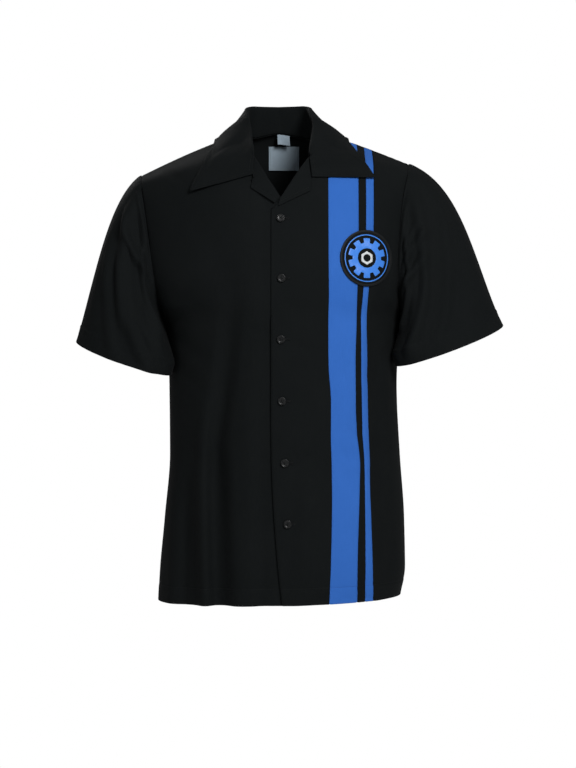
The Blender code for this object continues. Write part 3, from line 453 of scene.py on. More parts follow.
def mesh_object(name, points, faces, material, uvs=None):
    mesh = bpy.data.meshes.new(name)
    mesh.from_pydata(np.asarray(points).reshape(-1, 3).tolist(), [], faces)
    if uvs is not None:
        layer = mesh.uv_layers.new(name="UVMap")
        layer.data.foreach_set("uv", np.asarray(uvs, dtype=np.float32).ravel())
    mesh.materials.append(material)
    mesh.shade_smooth()
    made = bpy.data.objects.new(name, mesh)
    SHIRT.objects.link(made)
    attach(made, "root")
    return made


RIM_STEPS = 4  # a rounded edge has this many faces from the outside to the inside


def cloth(name, outer, wall, material, ring=False, outward=1, uv_turn=0.0):
    """A closed piece of cloth below a grid of outer points. wall is its thickness, the same all over or for
    each point. outward is -1 where the grid's rows and columns make its normals point inwards."""
    rows, columns = outer.shape[:2]
    wall = np.broadcast_to(wall, (rows, columns))[..., None]
    normal = grid_normals(outer, ring) * outward
    inner = outer - normal * wall
    layers = [outer.reshape(-1, 3), inner.reshape(-1, 3)]
    u = metres_along(np.concatenate([outer, outer[:, :1]], 1) if ring else outer, 1)
    v = metres_along(outer, 0)
    u = u - u[:, u.shape[1] // 2][:, None]
    if ring:
        v = np.concatenate([v, v[:, :1]], 1)
    uv = stack(u * math.cos(uv_turn) - v * math.sin(uv_turn), u * math.sin(uv_turn) + v * math.cos(uv_turn))
    r, c = np.meshgrid(np.arange(rows - 1), np.arange(columns if ring else columns - 1), indexing="ij")
    r, c = r.ravel(), c.ravel()
    corners = [(r, c), (r, c + 1), (r + 1, c + 1), (r + 1, c)]
    if outward < 0:
        corners.reverse()
    ids = np.stack([a * columns + b % columns for a, b in corners], 1)
    uvs = np.stack([uv[a, b] for a, b in corners], 1)
    half = rows * columns
    faces = [*ids.tolist(), *(ids[:, ::-1] + half).tolist()]
    loops = [uvs.reshape(-1, 2), uvs[:, ::-1].reshape(-1, 2)]
    # the boundary, in the order in which the outer faces run round it
    if ring:
        loops_of = [[(0, j) for j in range(columns + 1)], [(rows - 1, j) for j in range(columns, -1, -1)]]
    else:
        around = [(0, j) for j in range(columns - 1)] + [(i, columns - 1) for i in range(rows - 1)]
        around += [(rows - 1, j) for j in range(columns - 1, 0, -1)]
        around += [(i, 0) for i in range(rows - 1, 0, -1)]
        loops_of = [around + around[:1]]
    start = 2 * half
    for loop in loops_of:
        if outward < 0:
            loop = loop[::-1]
        i, j = np.array([a for a, _ in loop[:-1]]), np.array([b for _, b in loop[:-1]])
        wrapped = j % columns
        points, back = outer[i, wrapped], inner[i, wrapped]
        n = normal[i, wrapped]
        tangent = unit(np.roll(points, -1, 0) - np.roll(points, 1, 0))
        away = unit(np.cross(tangent, n))
        radius = np.linalg.norm(points - back, axis=1, keepdims=True) / 2
        middle = (points + back) / 2
        count = len(i)
        ring_ids = [i * columns + wrapped]
        for step in range(1, RIM_STEPS):
            angle = math.pi * step / RIM_STEPS
            layers.append(middle + n * radius * math.cos(angle) + away * radius * math.sin(angle))
            ring_ids.append(start + np.arange(count))
            start += count
        ring_ids.append(half + i * columns + wrapped)
        corner_uv = np.array([uv[a, b] for a, b in loop])
        for near, far in zip(ring_ids, ring_ids[1:]):
            faces += np.stack([np.roll(near, -1), near, far, np.roll(far, -1)], 1).tolist()
            first, last = corner_uv[1:], corner_uv[:-1]
            loops.append(np.stack([first, last, last, first], 1).reshape(-1, 2))
    return mesh_object(name, np.concatenate(layers), faces, material, np.concatenate(loops))


# %% [markdown]
# ## 6. Materials
# The node groups hold what cloth pieces share: the weave of two yarns with painted shade in its grooves, and
# the fading and lint of wear.
# They give only values and colours. Each material has its own shader. A picture of cloth could be used as a
# texture. A pattern that is worked out from the UVs was chosen, because it stays sharp at every distance.


# %% Materials
def node_group(name, inputs, outputs):
    tree = bpy.data.node_groups.new(name, "ShaderNodeTree")
    for label, kind, value in inputs:
        socket = tree.interface.new_socket(label, in_out="INPUT", socket_type="NodeSocket" + kind)
        if value is not None:
            socket.default_value = value
    for label, kind in outputs:
        tree.interface.new_socket(label, in_out="OUTPUT", socket_type="NodeSocket" + kind)
    return tree, tree.nodes.new("NodeGroupInput"), tree.nodes.new("NodeGroupOutput")


def node(tree, kind, links=None, **settings):
    """Adds a node. links gives sockets or constants for its inputs, by name or number."""
    made = tree.nodes.new("ShaderNode" + kind)
    for key, value in settings.items():
        setattr(made, key, value)
    for key, value in (links or {}).items():
        if isinstance(value, bpy.types.NodeSocket):
            tree.links.new(value, made.inputs[key])
        else:
            made.inputs[key].default_value = value
    return made


def maths(tree, operation, *values):
    return node(tree, "Math", dict(enumerate(values)), operation=operation).outputs[0]


weave, given, result = node_group(
    "Weave",
    [("Metres", "Vector", None), ("Yarn", "Float", 0.0005)],
    [("Height", "Float"), ("Painted groove shade", "Float")],
)
parts = node(weave, "SeparateXYZ", {0: given.outputs["Metres"]})
u = maths(weave, "DIVIDE", parts.outputs[0], given.outputs["Yarn"])
v = maths(weave, "DIVIDE", parts.outputs[1], given.outputs["Yarn"])
across_rib = maths(weave, "SINE", maths(weave, "MULTIPLY", maths(weave, "ADD", u, v), math.pi))
along_rib = maths(weave, "SINE", maths(weave, "MULTIPLY", maths(weave, "SUBTRACT", u, v), 2 * math.pi))
slub = node(weave, "TexNoise", {"Vector": given.outputs["Metres"], "Scale": 900.0, "Detail": 2.0})
ribs = maths(weave, "MULTIPLY", across_rib, 0.34), maths(weave, "MULTIPLY", along_rib, 0.12)
height = maths(weave, "ADD", *ribs)
height = maths(weave, "ADD", height, maths(weave, "MULTIPLY", slub.outputs[0], 0.5))
weave.links.new(height, result.inputs["Height"])
# painted shade: the colour is up to a fifth darker in the grooves between the twill's ribs
weave.links.new(maths(weave, "MULTIPLY_ADD", across_rib, 0.10, 0.90), result.inputs["Painted groove shade"])

wear_and_painted_shade, given, result = node_group(
    "Wear and painted shade",
    [
        ("Metres", "Vector", None),
        ("Colour", "Color", (0, 0, 0, 1)),
        ("Faded", "Color", (0, 0, 0, 1)),
        ("Painted groove shade", "Float", 1.0),
    ],
    [("Colour", "Color"), ("Roughness", "Float")],
)
place = given.outputs["Metres"]
clouds = node(wear_and_painted_shade, "TexNoise", {"Vector": place, "Scale": 9.0, "Detail": 4.0, "Roughness": 0.6})
streaks = node(wear_and_painted_shade, "Mapping", {"Vector": place, "Scale": (1.0, 0.12, 1.0)})
yarns = node(wear_and_painted_shade, "TexNoise", {"Vector": streaks.outputs[0], "Scale": 420.0, "Detail": 2.0})
lint = node(wear_and_painted_shade, "TexVoronoi", {"Vector": place, "Scale": 75.0}, feature="F1")
lint_mask = maths(wear_and_painted_shade, "MULTIPLY", maths(wear_and_painted_shade, "LESS_THAN", lint.outputs["Distance"], 0.022), 0.35)
fading = {"Value": clouds.outputs[0], "From Min": 0.35, "From Max": 0.75, "To Max": 0.6}
faded = node(wear_and_painted_shade, "MapRange", fading)
streaky = maths(wear_and_painted_shade, "MULTIPLY", maths(wear_and_painted_shade, "SUBTRACT", yarns.outputs[0], 0.5), 0.5)
amount = maths(wear_and_painted_shade, "ADD", faded.outputs[0], streaky)
amount = node(wear_and_painted_shade, "Clamp", {0: maths(wear_and_painted_shade, "ADD", amount, lint_mask)}).outputs[0]
base = node(wear_and_painted_shade, "Mix", {0: amount, 6: given.outputs["Colour"], 7: given.outputs["Faded"]}, data_type="RGBA")
tone = node(wear_and_painted_shade, "Mix", {0: 1.0, 6: base.outputs[2]}, data_type="RGBA", blend_type="MULTIPLY")
# the weave's painted groove shade, multiplied into the worn colour
painted_shade_grey = node(wear_and_painted_shade, "CombineColor", {channel: given.outputs["Painted groove shade"] for channel in range(3)})
wear_and_painted_shade.links.new(painted_shade_grey.outputs[0], tone.inputs[7])
wear_and_painted_shade.links.new(tone.outputs[2], result.inputs["Colour"])
wear_and_painted_shade.links.new(maths(wear_and_painted_shade, "MULTIPLY_ADD", clouds.outputs[0], 0.14, 0.76), result.inputs["Roughness"])


def shader_of(name):
    made = bpy.data.materials.new(name)
    made.use_nodes = True
    tree = made.node_tree
    return made, tree, tree.nodes["Principled BSDF"]


def cloth_material(name, colour, faded, yarn=0.0005, relief=0.00009, sheen=0.01, specular=0.05):
    made, tree, shader = shader_of(name)
    metres = node(tree, "UVMap", uv_map="UVMap").outputs[0]
    woven = node(tree, "Group", node_tree=weave)
    tree.links.new(metres, woven.inputs["Metres"])
    woven.inputs["Yarn"].default_value = yarn
    # the worn colour, with the weave's painted groove shade multiplied in
    worn = node(tree, "Group", node_tree=wear_and_painted_shade)
    tree.links.new(metres, worn.inputs["Metres"])
    tree.links.new(woven.outputs["Painted groove shade"], worn.inputs["Painted groove shade"])
    worn.inputs["Colour"].default_value = (*colour, 1)
    worn.inputs["Faded"].default_value = (*faded, 1)
    bump = node(tree, "Bump", {"Strength": 0.6, "Distance": relief, "Height": woven.outputs["Height"]})
    tree.links.new(worn.outputs["Colour"], shader.inputs["Base Color"])
    tree.links.new(worn.outputs["Roughness"], shader.inputs["Roughness"])
    tree.links.new(bump.outputs[0], shader.inputs["Normal"])
    shader.inputs["Specular IOR Level"].default_value = specular
    shader.inputs["Sheen Weight"].default_value = sheen
    shader.inputs["Sheen Roughness"].default_value = 0.45
    return made


BLACK = cloth_material("black cloth", (0.0052, 0.0064, 0.0068), (0.0078, 0.0090, 0.0094))
BLUE = cloth_material("blue cloth", (0.031, 0.128, 0.465), (0.041, 0.152, 0.530), sheen=0.02)
SATIN = cloth_material("label satin", (0.28, 0.35, 0.41), (0.34, 0.41, 0.47), 0.00025, 0.00004, specular=0.3)


def thread_material(name, colour, roughness=0.5, specular=0.3):
    made, tree, shader = shader_of(name)
    metres = node(tree, "TexCoord").outputs["Object"]
    fibres = node(tree, "TexNoise", {"Vector": metres, "Scale": 5000.0, "Detail": 1.0})
    bump = node(tree, "Bump", {"Strength": 0.4, "Distance": 0.00005, "Height": fibres.outputs[0]})
    tree.links.new(bump.outputs[0], shader.inputs["Normal"])
    shader.inputs["Base Color"].default_value = (*colour, 1)
    shader.inputs["Roughness"].default_value = roughness
    shader.inputs["Specular IOR Level"].default_value = specular
    return made


THREAD = thread_material("black thread", (0.0085, 0.0095, 0.010), specular=0.1)
BLUE_THREAD = thread_material("blue embroidery thread", (0.045, 0.200, 0.660), 0.38)
BLUE_STITCH = thread_material("blue thread", (0.010, 0.052, 0.230))
PALE_THREAD = thread_material("pale embroidery thread", (0.55, 0.57, 0.58), 0.4)
HORN, tree, shader = shader_of("black button")
metres = node(tree, "TexCoord").outputs["Object"]
cloudy = node(tree, "TexNoise", {"Vector": metres, "Scale": 260.0, "Detail": 3.0})
ramp = node(tree, "MapRange", {"Value": cloudy.outputs[0], "To Min": 0.20, "To Max": 0.42})
tree.links.new(ramp.outputs[0], shader.inputs["Roughness"])
shader.inputs["Base Color"].default_value = (0.006, 0.0066, 0.007, 1)
shader.inputs["Specular IOR Level"].default_value = 0.35
print(len(bpy.data.materials), "materials")

# %% [markdown]
# ## 7. Fronts, stripes and back
# Panels are cut from the body by upright lines, as in the CAD model. Where two panels are sewn the cloth
# sinks into the seam, the hem is turned up 25 mm and stitched, and the cloth puckers a little at each seam.
# One panel with painted stripes would be simpler. The stripes are pieces of their own, because a sewn
# stripe has sunk edges that catch the light.

# %% Fronts, stripes and back
WALL = 0.0010  # shell cloth
FOLDED_WALL = 0.0018  # two layers: hems and the faced front edges
HEM_TURN = 0.025
SEAM_DIP, SEAM_WIDTH = 0.0009, 0.0018
STEP = 0.0036  # size of the cloth's mesh
HEM_FADE = 0.002  # over which the hem's second layer ends
FACING, FACING_FADE = 0.004, 0.02  # the folded front edge: its full thickness, and how it eases out
FRONT_EDGE_DIP, FRONT_EDGE_WIDTH = 0.0004, 0.0011
HEM_LAYER, HEM_GROOVE, HEM_ROPE, ROPE_PITCH, ROPE_REACH = 0.0004, 0.00045, 0.00034, 0.0135, 0.014
SEAM_PUCKER, PUCKER_PITCH, PUCKER_REACH = 0.00022, 0.0105, 0.007
UNDERLAP_X, UNDERLAP_RUN = -0.042, 0.024  # where the right front starts to pass under, and over what width
TUCK, FREE_TUCK = WALL / 2 - 0.0001, 0.0008  # how far an outer edge is moved in, sewn or free


def spaced(width, step=STEP, fine_start=True, fine_end=True):
    """Shares from 0 to 1 over a width: steps of about this size, and finer ones where an edge needs them."""
    fine = np.array([0.0008, 0.0017, 0.0030, 0.0048])
    fine = fine[fine < width / 3]
    start = fine if fine_start else fine[:0]
    end = width - fine[::-1] if fine_end else fine[:0]
    low, high = (start[-1] if len(start) else 0), (end[0] if len(end) else width)
    count = max(int(math.ceil((high - low) / step)), 1)
    inside = np.linspace(low, high, count + 1)[1:-1]
    return np.concatenate([[0], start, inside, end, [width]]) / width


DENSE = np.linspace(0, CHEST, 1400)
DENSE_Z = READ["front"](DENSE)[:, 0]
RISE = DENSE_Z[-1] - DENSE_Z[0]
HEM_ROWS = np.arange(0.0018, 0.034, 0.0018)
UPPER_ROWS = np.linspace(0.037, RISE, int((RISE - 0.037) / STEP))
LOW_LEVELS = np.interp(DENSE_Z[0] + np.concatenate([[0, 0.0009], HEM_ROWS, UPPER_ROWS]), DENSE_Z, DENSE)
TOP_SHARES = spaced(0.21, 0.0040, fine_start=False)[1:]


def side_line(sign):
    return lambda level: np.full(np.shape(level), float(sign))


def seam_line(side, which, shift=0.0):
    return lambda level: across_of(side, LINE_AT(READ[side](level)[..., 0])[..., which] + shift, level)


def neck_line(side, sign):
    return lambda level: across_of(side, NECK_MID + sign * NECK_HALF, level)


def between_lines(stops, share_lists):
    """A function from levels, one column for each share, to across."""
    sections = [np.full(len(s) - 1, k) for k, s in enumerate(share_lists)]
    section = np.concatenate([*sections, [len(share_lists) - 1]])
    share = np.concatenate([s[:-1] for s in share_lists] + [[1.0]])
    pick = np.arange(len(share))

    def across(level):
        level = np.broadcast_to(level, np.broadcast_shapes(np.shape(level), (1, len(share))))
        lines = np.stack([stop(level) for stop in stops])
        first, last = lines[section, :, pick].T, lines[section + 1, :, pick].T
        return first + (last - first) * share

    return across


def front_tops(across, sign):
    level = np.full((1, 1), V_LEVEL)
    for _ in range(6):
        x = plain_point("front", across(level), level)[..., 0]
        beyond = (NECK_MID - x) * sign / CORNER_REACH
        level = np.where(beyond > 0, V_LEVEL - CORNER_DROP * np.minimum(beyond, 1), top_level("front", x))
    return level


def back_tops(across, _):
    level = np.full((1, 1), float(SHOULDER))
    return top_level("back", plain_point("back", across(level), level)[..., 0])


def pucker(along, away, pitch, reach, seed):
    """Small gathers along a line of stitching, in units of about one."""
    waves = np.random.default_rng(seed)
    phase = 1.7 * np.sin(along * waves.uniform(25, 45) + waves.uniform(0, 6)) + waves.uniform(0, 6)
    size = 0.55 + 0.45 * np.sin(along * waves.uniform(15, 35) + waves.uniform(0, 6))
    return size * np.sin(2 * math.pi * along / pitch + phase) * bell(away / reach)


def hem_relief(along, up, seed):
    """The turned-up hem: two layers below its stitching, a groove at the stitches and slanting gathers."""
    layered = HEM_LAYER * (1 - smooth((up - HEM_TURN + 0.001) / 0.0024))
    groove = HEM_GROOVE * bell((up - HEM_TURN) / 0.0013)
    ropes = HEM_ROPE * pucker(along + 0.5 * up, up - HEM_TURN / 2, ROPE_PITCH, ROPE_REACH, seed)
    return layered - groove + ropes


def shifted(grid, left, right, top):
    """The grid with three of its edges moved in."""
    grid = grid.copy()
    for at, inside, amount in ((0, 1, left), (-1, -2, right)):
        grid[:, at] += unit(grid[:, inside] - grid[:, at]) * amount
    grid[-1] += unit(grid[-2] - grid[-1]) * top
    return grid


def make_panel(
    name, side, stops, widths, tops, material, sign=1, left="sewn", right="sewn", drop=False, seed=1
):
    last = len(widths) - 1
    shares = [spaced(w, fine_start=k == 0, fine_end=k == last) for k, w in enumerate(widths)]
    across_at = between_lines(stops, shares)
    top = tops(across_at, sign)
    low = np.broadcast_to(LOW_LEVELS[:, None], (len(LOW_LEVELS), top.shape[1]))
    levels = np.concatenate([low, mix(float(CHEST), top, TOP_SHARES[:, None])])
    across = across_at(levels)
    point, normal = body_point(side, across, levels), body_normal(side, across, levels)
    from_left, from_right, up, down = edge_distance(point)
    depth = crease_depth(side, point[..., 0], point[..., 2])
    if drop:
        depth = depth + UNDERLAP_DROP * smooth((point[..., 0] - UNDERLAP_X) / UNDERLAP_RUN)
    for kind, away in ((left, from_left), (right, from_right), ("sewn", down)):
        if kind == "sewn":
            depth = depth + SEAM_DIP * bell(away / SEAM_WIDTH)
            depth = depth + SEAM_PUCKER * pucker(up + from_left, away, PUCKER_PITCH, PUCKER_REACH, seed + 5)
        else:
            depth = depth + FRONT_EDGE_DIP * bell(away / FRONT_EDGE_WIDTH)
    depth = depth - hem_relief(point[..., 0], up, seed)
    point = point - normal * depth[..., None]
    folded = 1 - smooth((up - HEM_TURN) / HEM_FADE)
    for kind, away in ((left, from_left), (right, from_right)):
        if kind == "folded":
            folded = np.maximum(folded, 1 - smooth((away - FACING) / FACING_FADE))
    wall = WALL + (FOLDED_WALL - WALL) * folded
    left_tuck, right_tuck = (TUCK if kind == "sewn" else FREE_TUCK for kind in (left, right))
    point = shifted(point, left_tuck, right_tuck, TUCK)
    made = cloth(name, point, wall, material, outward=1 if side == "front" else -1)
    return made, point, normal


edge, own_edge = seam_line("front", EDGE), seam_line("front", EDGE, RIGHT_EDGE)
right_side, left_side = side_line(-1), side_line(1)
F, B = "front", "back"
stripe_lines = [seam_line(F, which) for which in (WIDE_IN, WIDE_OUT, NARROW_IN, NARROW_OUT)]
# side, lines from the wearer's right to left, widths between them, tops and cloth. Then, where a panel needs
# them: sign of its neck point, how its two edges are finished, and whether it passes under.
PANELS = {
    "front_right": (
        F, [right_side, neck_line(F, -1), own_edge], [0.215, 0.085], front_tops, BLACK, -1,
        "sewn", "folded", True,
    ),
    "front_left_inner": (
        F, [edge, neck_line(F, 1), stripe_lines[0]], [0.086, 0.004], front_tops, BLACK, 1, "folded"
    ),
    "stripe_wide": (F, stripe_lines[:2], [0.047], front_tops, BLUE),
    "stripe_gap": (F, stripe_lines[1:3], [0.0105], front_tops, BLACK),
    "stripe_narrow": (F, stripe_lines[2:], [0.011], front_tops, BLUE),
    "front_left_outer": (F, [stripe_lines[3], left_side], [0.150], front_tops, BLACK),
    "back": (
        B, [right_side, neck_line(B, -1), neck_line(B, 1), left_side], [0.20, 0.145, 0.20], back_tops, BLACK
    ),
}
grids = {}
for number, (name, row) in enumerate(PANELS.items()):
    made, point, normal = make_panel(name + "_cloth", *row, seed=20 + number)
    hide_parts(name)
    grids[name] = (point, normal, made)
    print(name, point.shape[:2], len(made.data.polygons), "faces")

# %% [markdown]
# ## 8. Sleeves
# Each sleeve is a tube of cloth from the armhole to the cuff. around runs from 0 at the underarm up the
# front to 0.5 at the shoulder and on down the back, and along runs from 0 at the armhole to 1 at the cuff.
# A real sleeve is cut flat, closed to a tube and set into the armhole. This tube is worked out from the
# armhole's own points, so that it starts on the seam.

# %% Sleeves
# outer and inner end of the cuff's opening, how far its front comes forward, and how far down
CUFFS = {
    -1: (np.array([-0.3215, -0.012, -0.3220]), np.array([-0.1695, -0.053, -0.3740]), 0.058, 0.0095),
    1: (np.array([0.3555, -0.012, -0.2965]), np.array([0.1840, -0.053, -0.3600]), 0.060, 0.0095),
}
# the directions, out, forward and down, at the underarm, the front, the shoulder and the back
STARTS = {
    -1: [(0.030, 0.022, 0.014), (0.085, 0.045, 0.060), (0.165, 0.000, 0.112), (0.090, -0.040, 0.060)],
    1: [(0.047, 0.012, 0.014), (0.090, 0.045, 0.055), (0.275, 0.000, 0.105), (0.100, -0.040, 0.055)],
}
ENDS = {
    -1: [(0.016, -0.080, 0.080), (0.030, 0.006, 0.150), (0.075, 0.000, 0.240), (0.030, -0.006, 0.150)],
    1: [(0.016, -0.080, 0.080), (0.040, 0.006, 0.150), (0.120, 0.000, 0.230), (0.040, -0.006, 0.150)],
}
# by the sign of x: around and along of its top, around and along of its foot, width, depth
SLEEVE_FOLDS = {
    -1: [
        (0.36, 0.20, 0.16, 0.95, 0.050, 0.0070),
        (0.27, 0.05, 0.10, 0.50, 0.045, 0.0060),
        (0.37, 0.50, 0.28, 0.92, 0.040, 0.0045),
        (0.66, 0.15, 0.86, 0.80, 0.050, 0.0065),
        (0.76, 0.05, 0.92, 0.45, 0.045, 0.0055),
    ],
    1: [
        (0.34, 0.12, 0.12, 0.80, 0.045, 0.0070),
        (0.27, 0.05, 0.08, 0.45, 0.045, 0.0060),
        (0.39, 0.30, 0.22, 0.85, 0.035, 0.0035),
        (0.67, 0.15, 0.87, 0.80, 0.050, 0.0065),
        (0.77, 0.05, 0.93, 0.45, 0.045, 0.0055),
    ],
}
# points (around, along), width in metres, depth
SLEEVE_CREASES = {
    -1: [
        # right sleeve: a deep fold from its head to the underarm, one along the seam, and softer ones down to
        # the cuff
        ([(0.40, 0.19), (0.33, 0.27), (0.28, 0.27), (0.22, 0.20), (0.155, 0.09)], 0.009, 0.0084),
        ([(0.42, 0.040), (0.34, 0.045), (0.26, 0.050), (0.19, 0.050)], 0.007, 0.0052),
        ([(0.36, 0.10), (0.28, 0.13), (0.20, 0.10)], 0.007, -0.0026),
        ([(0.36, 0.34), (0.31, 0.47), (0.275, 0.65), (0.25, 0.80)], 0.008, 0.0066),
        ([(0.31, 0.36), (0.26, 0.52), (0.22, 0.72)], 0.008, -0.0020),
        ([(0.43, 0.28), (0.38, 0.50), (0.34, 0.72)], 0.011, 0.0026),
        ([(0.17, 0.30), (0.13, 0.50), (0.10, 0.88)], 0.015, 0.0070),
        ([(0.21, 0.55), (0.15, 0.74), (0.12, 0.95)], 0.011, 0.0029),
        ([(0.44, 0.30), (0.40, 0.60), (0.37, 0.97)], 0.014, 0.0030),
        # and its back
        ([(0.66, 0.10), (0.73, 0.34), (0.82, 0.62)], 0.013, 0.0038),
        ([(0.60, 0.22), (0.66, 0.46), (0.72, 0.74)], 0.013, 0.0027),
        ([(0.76, 0.06), (0.84, 0.18), (0.91, 0.30)], 0.010, 0.0035),
        ([(0.70, 0.16), (0.77, 0.42), (0.86, 0.70)], 0.009, -0.0026),
    ],
    1: [
        # left sleeve: short folds that run together at the underarm
        ([(0.36, 0.34), (0.315, 0.29), (0.205, 0.15), (0.15, 0.04)], 0.007, 0.0070),
        ([(0.31, 0.20), (0.275, 0.17), (0.19, 0.05)], 0.006, 0.0046),
        ([(0.29, 0.42), (0.24, 0.32), (0.18, 0.26), (0.125, 0.19), (0.07, 0.14)], 0.008, 0.0080),
        ([(0.33, 0.24), (0.25, 0.22), (0.17, 0.10)], 0.005, -0.0016),
        ([(0.38, 0.045), (0.30, 0.045), (0.20, 0.040), (0.12, 0.040)], 0.008, 0.0034),
        ([(0.42, 0.22), (0.36, 0.44), (0.31, 0.68)], 0.011, 0.0024),
        ([(0.20, 0.40), (0.15, 0.62), (0.13, 0.90)], 0.014, 0.0040),
        ([(0.22, 0.60), (0.17, 0.78), (0.14, 0.97)], 0.011, 0.0022),
        ([(0.45, 0.34), (0.42, 0.60), (0.40, 0.90)], 0.014, 0.0022),
        # and its back
        ([(0.66, 0.10), (0.74, 0.34), (0.83, 0.60)], 0.013, 0.0038),
        ([(0.60, 0.20), (0.66, 0.44), (0.71, 0.72)], 0.013, 0.0027),
        ([(0.77, 0.06), (0.85, 0.18), (0.92, 0.30)], 0.010, 0.0035),
        ([(0.71, 0.16), (0.78, 0.42), (0.87, 0.68)], 0.009, -0.0026),
    ],
}
SLEEVE_BLEND, FOLDS_BACK, SLEEVE_FOLD_END, SLEEVE_FOLD_START = 0.10, 0.35, 0.35, 0.12
SLEEVE_LENGTH, SLEEVE_GIRTH, SLEEVE_COLUMNS = 0.29, 0.42, 132  # about, for the mesh and the creases
SLEEVE_DRIFT, SLEEVE_PUCKER = 0.0005, 0.00035
# the cloth below the underarm hangs in towards the side
FULLNESS, FULL_WIDTH, FULL_FADE = 0.0050, 0.075, 0.24


def armhole_read(function, sign, around):
    """Reads a function of (side, across, level) all round the armhole."""
    across = np.full_like(around, float(sign))
    front = function("front", across, UNDERARM + (SHOULDER - UNDERARM) * np.minimum(around, 0.5) * 2)
    back = function("back", across, UNDERARM + (SHOULDER - UNDERARM) * (1 - np.maximum(around, 0.5)) * 2)
    return np.where((around <= 0.5)[..., None], front, back)


def blend_four(sign, rows, around):
    rows = np.array(rows)
    quarter = around * 4 % 4
    i = quarter.astype(int) % 4
    share = smooth(quarter - i)[..., None]
    out, forward, down = np.moveaxis(rows[i] * (1 - share) + rows[(i + 1) % 4] * share, -1, 0)
    return stack(sign * out, -forward, -down)


def sleeve_point(sign, around, along):
    around = around % 1
    start = armhole_read(body_point, sign, around)
    outer, inner, depth, tilt = CUFFS[sign]
    angle = (2 * math.pi * around)[..., None]
    sag = np.array([0, -depth, -tilt])
    end = (outer + inner) / 2 + (inner - outer) / 2 * np.cos(angle) + sag * np.sin(angle)
    t = along[..., None]
    point = start * (2 * t**3 - 3 * t**2 + 1) + blend_four(sign, STARTS[sign], around) * (t**3 - 2 * t**2 + t)
    return point + end * (3 * t**2 - 2 * t**3) + blend_four(sign, ENDS[sign], around) * (t**3 - t**2)


def sleeve_normal(sign, around, along):
    across = sleeve_point(sign, around + 0.01, along) - sleeve_point(sign, around - 0.01, along)
    below, above = np.minimum(along + 0.02, 1), np.maximum(along - 0.02, 0)
    down = sleeve_point(sign, around, below) - sleeve_point(sign, around, above)
    own = unit(np.cross(across, down)) * sign
    share = 1 - smooth(along / SLEEVE_BLEND)
    seam = armhole_read(body_normal, sign, around % 1)
    folds_back = (seam * unit(blend_four(sign, STARTS[sign], around % 1))).sum(-1) > FOLDS_BACK
    share = np.where(folds_back, 0, share)[..., None]
    return unit(own * (1 - share) + seam * share)


def sleeve_depth(sign, around, along, girth, length):
    total = SLEEVE_DRIFT * drift(around * girth, along * length, 11 + sign)
    for around_top, along_top, around_foot, along_foot, width, depth in SLEEVE_FOLDS[sign]:
        share = (along - along_top) / (along_foot - along_top)
        middle = around_top + np.clip(share, 0, 1) * (around_foot - around_top)
        past = np.maximum(np.maximum(-share, share - 1), 0) / SLEEVE_FOLD_END
        near = 1 - smooth(np.abs(around - middle) / width)
        total = total + depth * (1 - smooth(past)) * near * smooth(along / SLEEVE_FOLD_START)
    for points, width, depth in SLEEVE_CREASES[sign]:
        points = [(a * girth, b * length) for a, b in points]
        total = total + depth * line_profile(around * girth, along * length, points, width)
    return total


def make_sleeve(name, sign, seed):
    length, girth = SLEEVE_LENGTH, SLEEVE_GIRTH
    at_seam = [0, 0.0008, 0.0018, 0.0034]
    between = np.arange(0.0056, length - 0.034, 0.0040)
    in_hem = np.arange(length - 0.033, length - 0.001, 0.0018)
    alongs = np.concatenate([at_seam, between, in_hem, [length]]) / length
    arounds = np.arange(SLEEVE_COLUMNS) / SLEEVE_COLUMNS
    along, around = np.meshgrid(alongs, arounds, indexing="ij")
    point, normal = sleeve_point(sign, around, along), sleeve_normal(sign, around, along)
    depth = sleeve_depth(sign, around, along, girth, length)
    v = metres_along(point, 0)
    up = v[-1:] - v
    seam = bell(v / SEAM_WIDTH)
    depth = depth + SEAM_DIP * seam + SLEEVE_PUCKER * pucker(around * girth, v, 0.012, 0.010, seed)
    depth = depth - hem_relief(around * girth, up, seed)
    point = point - normal * depth[..., None]
    from_underarm = np.minimum(around, 1 - around)
    full = bell(from_underarm / FULL_WIDTH) * smooth(along / FULL_FADE) * smooth((1 - along) / FULL_FADE)
    point[..., 0] -= sign * FULLNESS * full
    wall = WALL + (FOLDED_WALL - WALL) * (1 - smooth((up - HEM_TURN) / HEM_FADE))
    made = cloth(name + "_cloth", point, wall, BLACK, ring=True, outward=sign)
    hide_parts(name)
    grids[name] = (point, normal, made)
    print(name, point.shape[:2], len(made.data.polygons), "faces")


make_sleeve("sleeve_right", -1, 31)
make_sleeve("sleeve_left", 1, 32)

# %% [markdown]
# ## 9. What lies on the body
# The collar, lapels, patch, label and buttons lie on the creased body, so they are made from its own
# points, moved out. They could be modelled flat and pressed on with a Shrinkwrap modifier. This way needs
# no modifier, and each piece follows the folds below it.


# %% What lies on the body
def creased(side, across, level):
    """A point of the body with its creases, and the outward direction there."""
    point, normal = body_point(side, across, level), body_normal(side, across, level)
    depth = crease_depth(side, point[..., 0], point[..., 2])
    return point - normal * depth[..., None], normal


def laid(side, x, z, lift):
    x, z = np.asarray(x, float), np.asarray(z, float)
    point, normal = creased(side, *place_on(side, x, z))
    return point + normal * np.broadcast_to(lift, x.shape)[..., None]


def on_either(function, side, across, level):
    return np.where((side == 0)[..., None], function(F, across, level), function(B, across, level))


# a coarse net over the shoulders, from which the search for the nearest place on the body starts
NET_ROWS, NET_COLUMNS = 15, 21
NET_SIDE = np.repeat([0, 1], NET_ROWS * NET_COLUMNS)
net = np.meshgrid(np.linspace(7.5, SHOULDER, NET_ROWS), np.linspace(-1, 1, NET_COLUMNS), indexing="ij")
NET_LEVEL, NET_ACROSS = (np.tile(part.ravel(), 2) for part in net)
NET_POINTS = on_either(body_point, NET_SIDE, NET_ACROSS, NET_LEVEL)


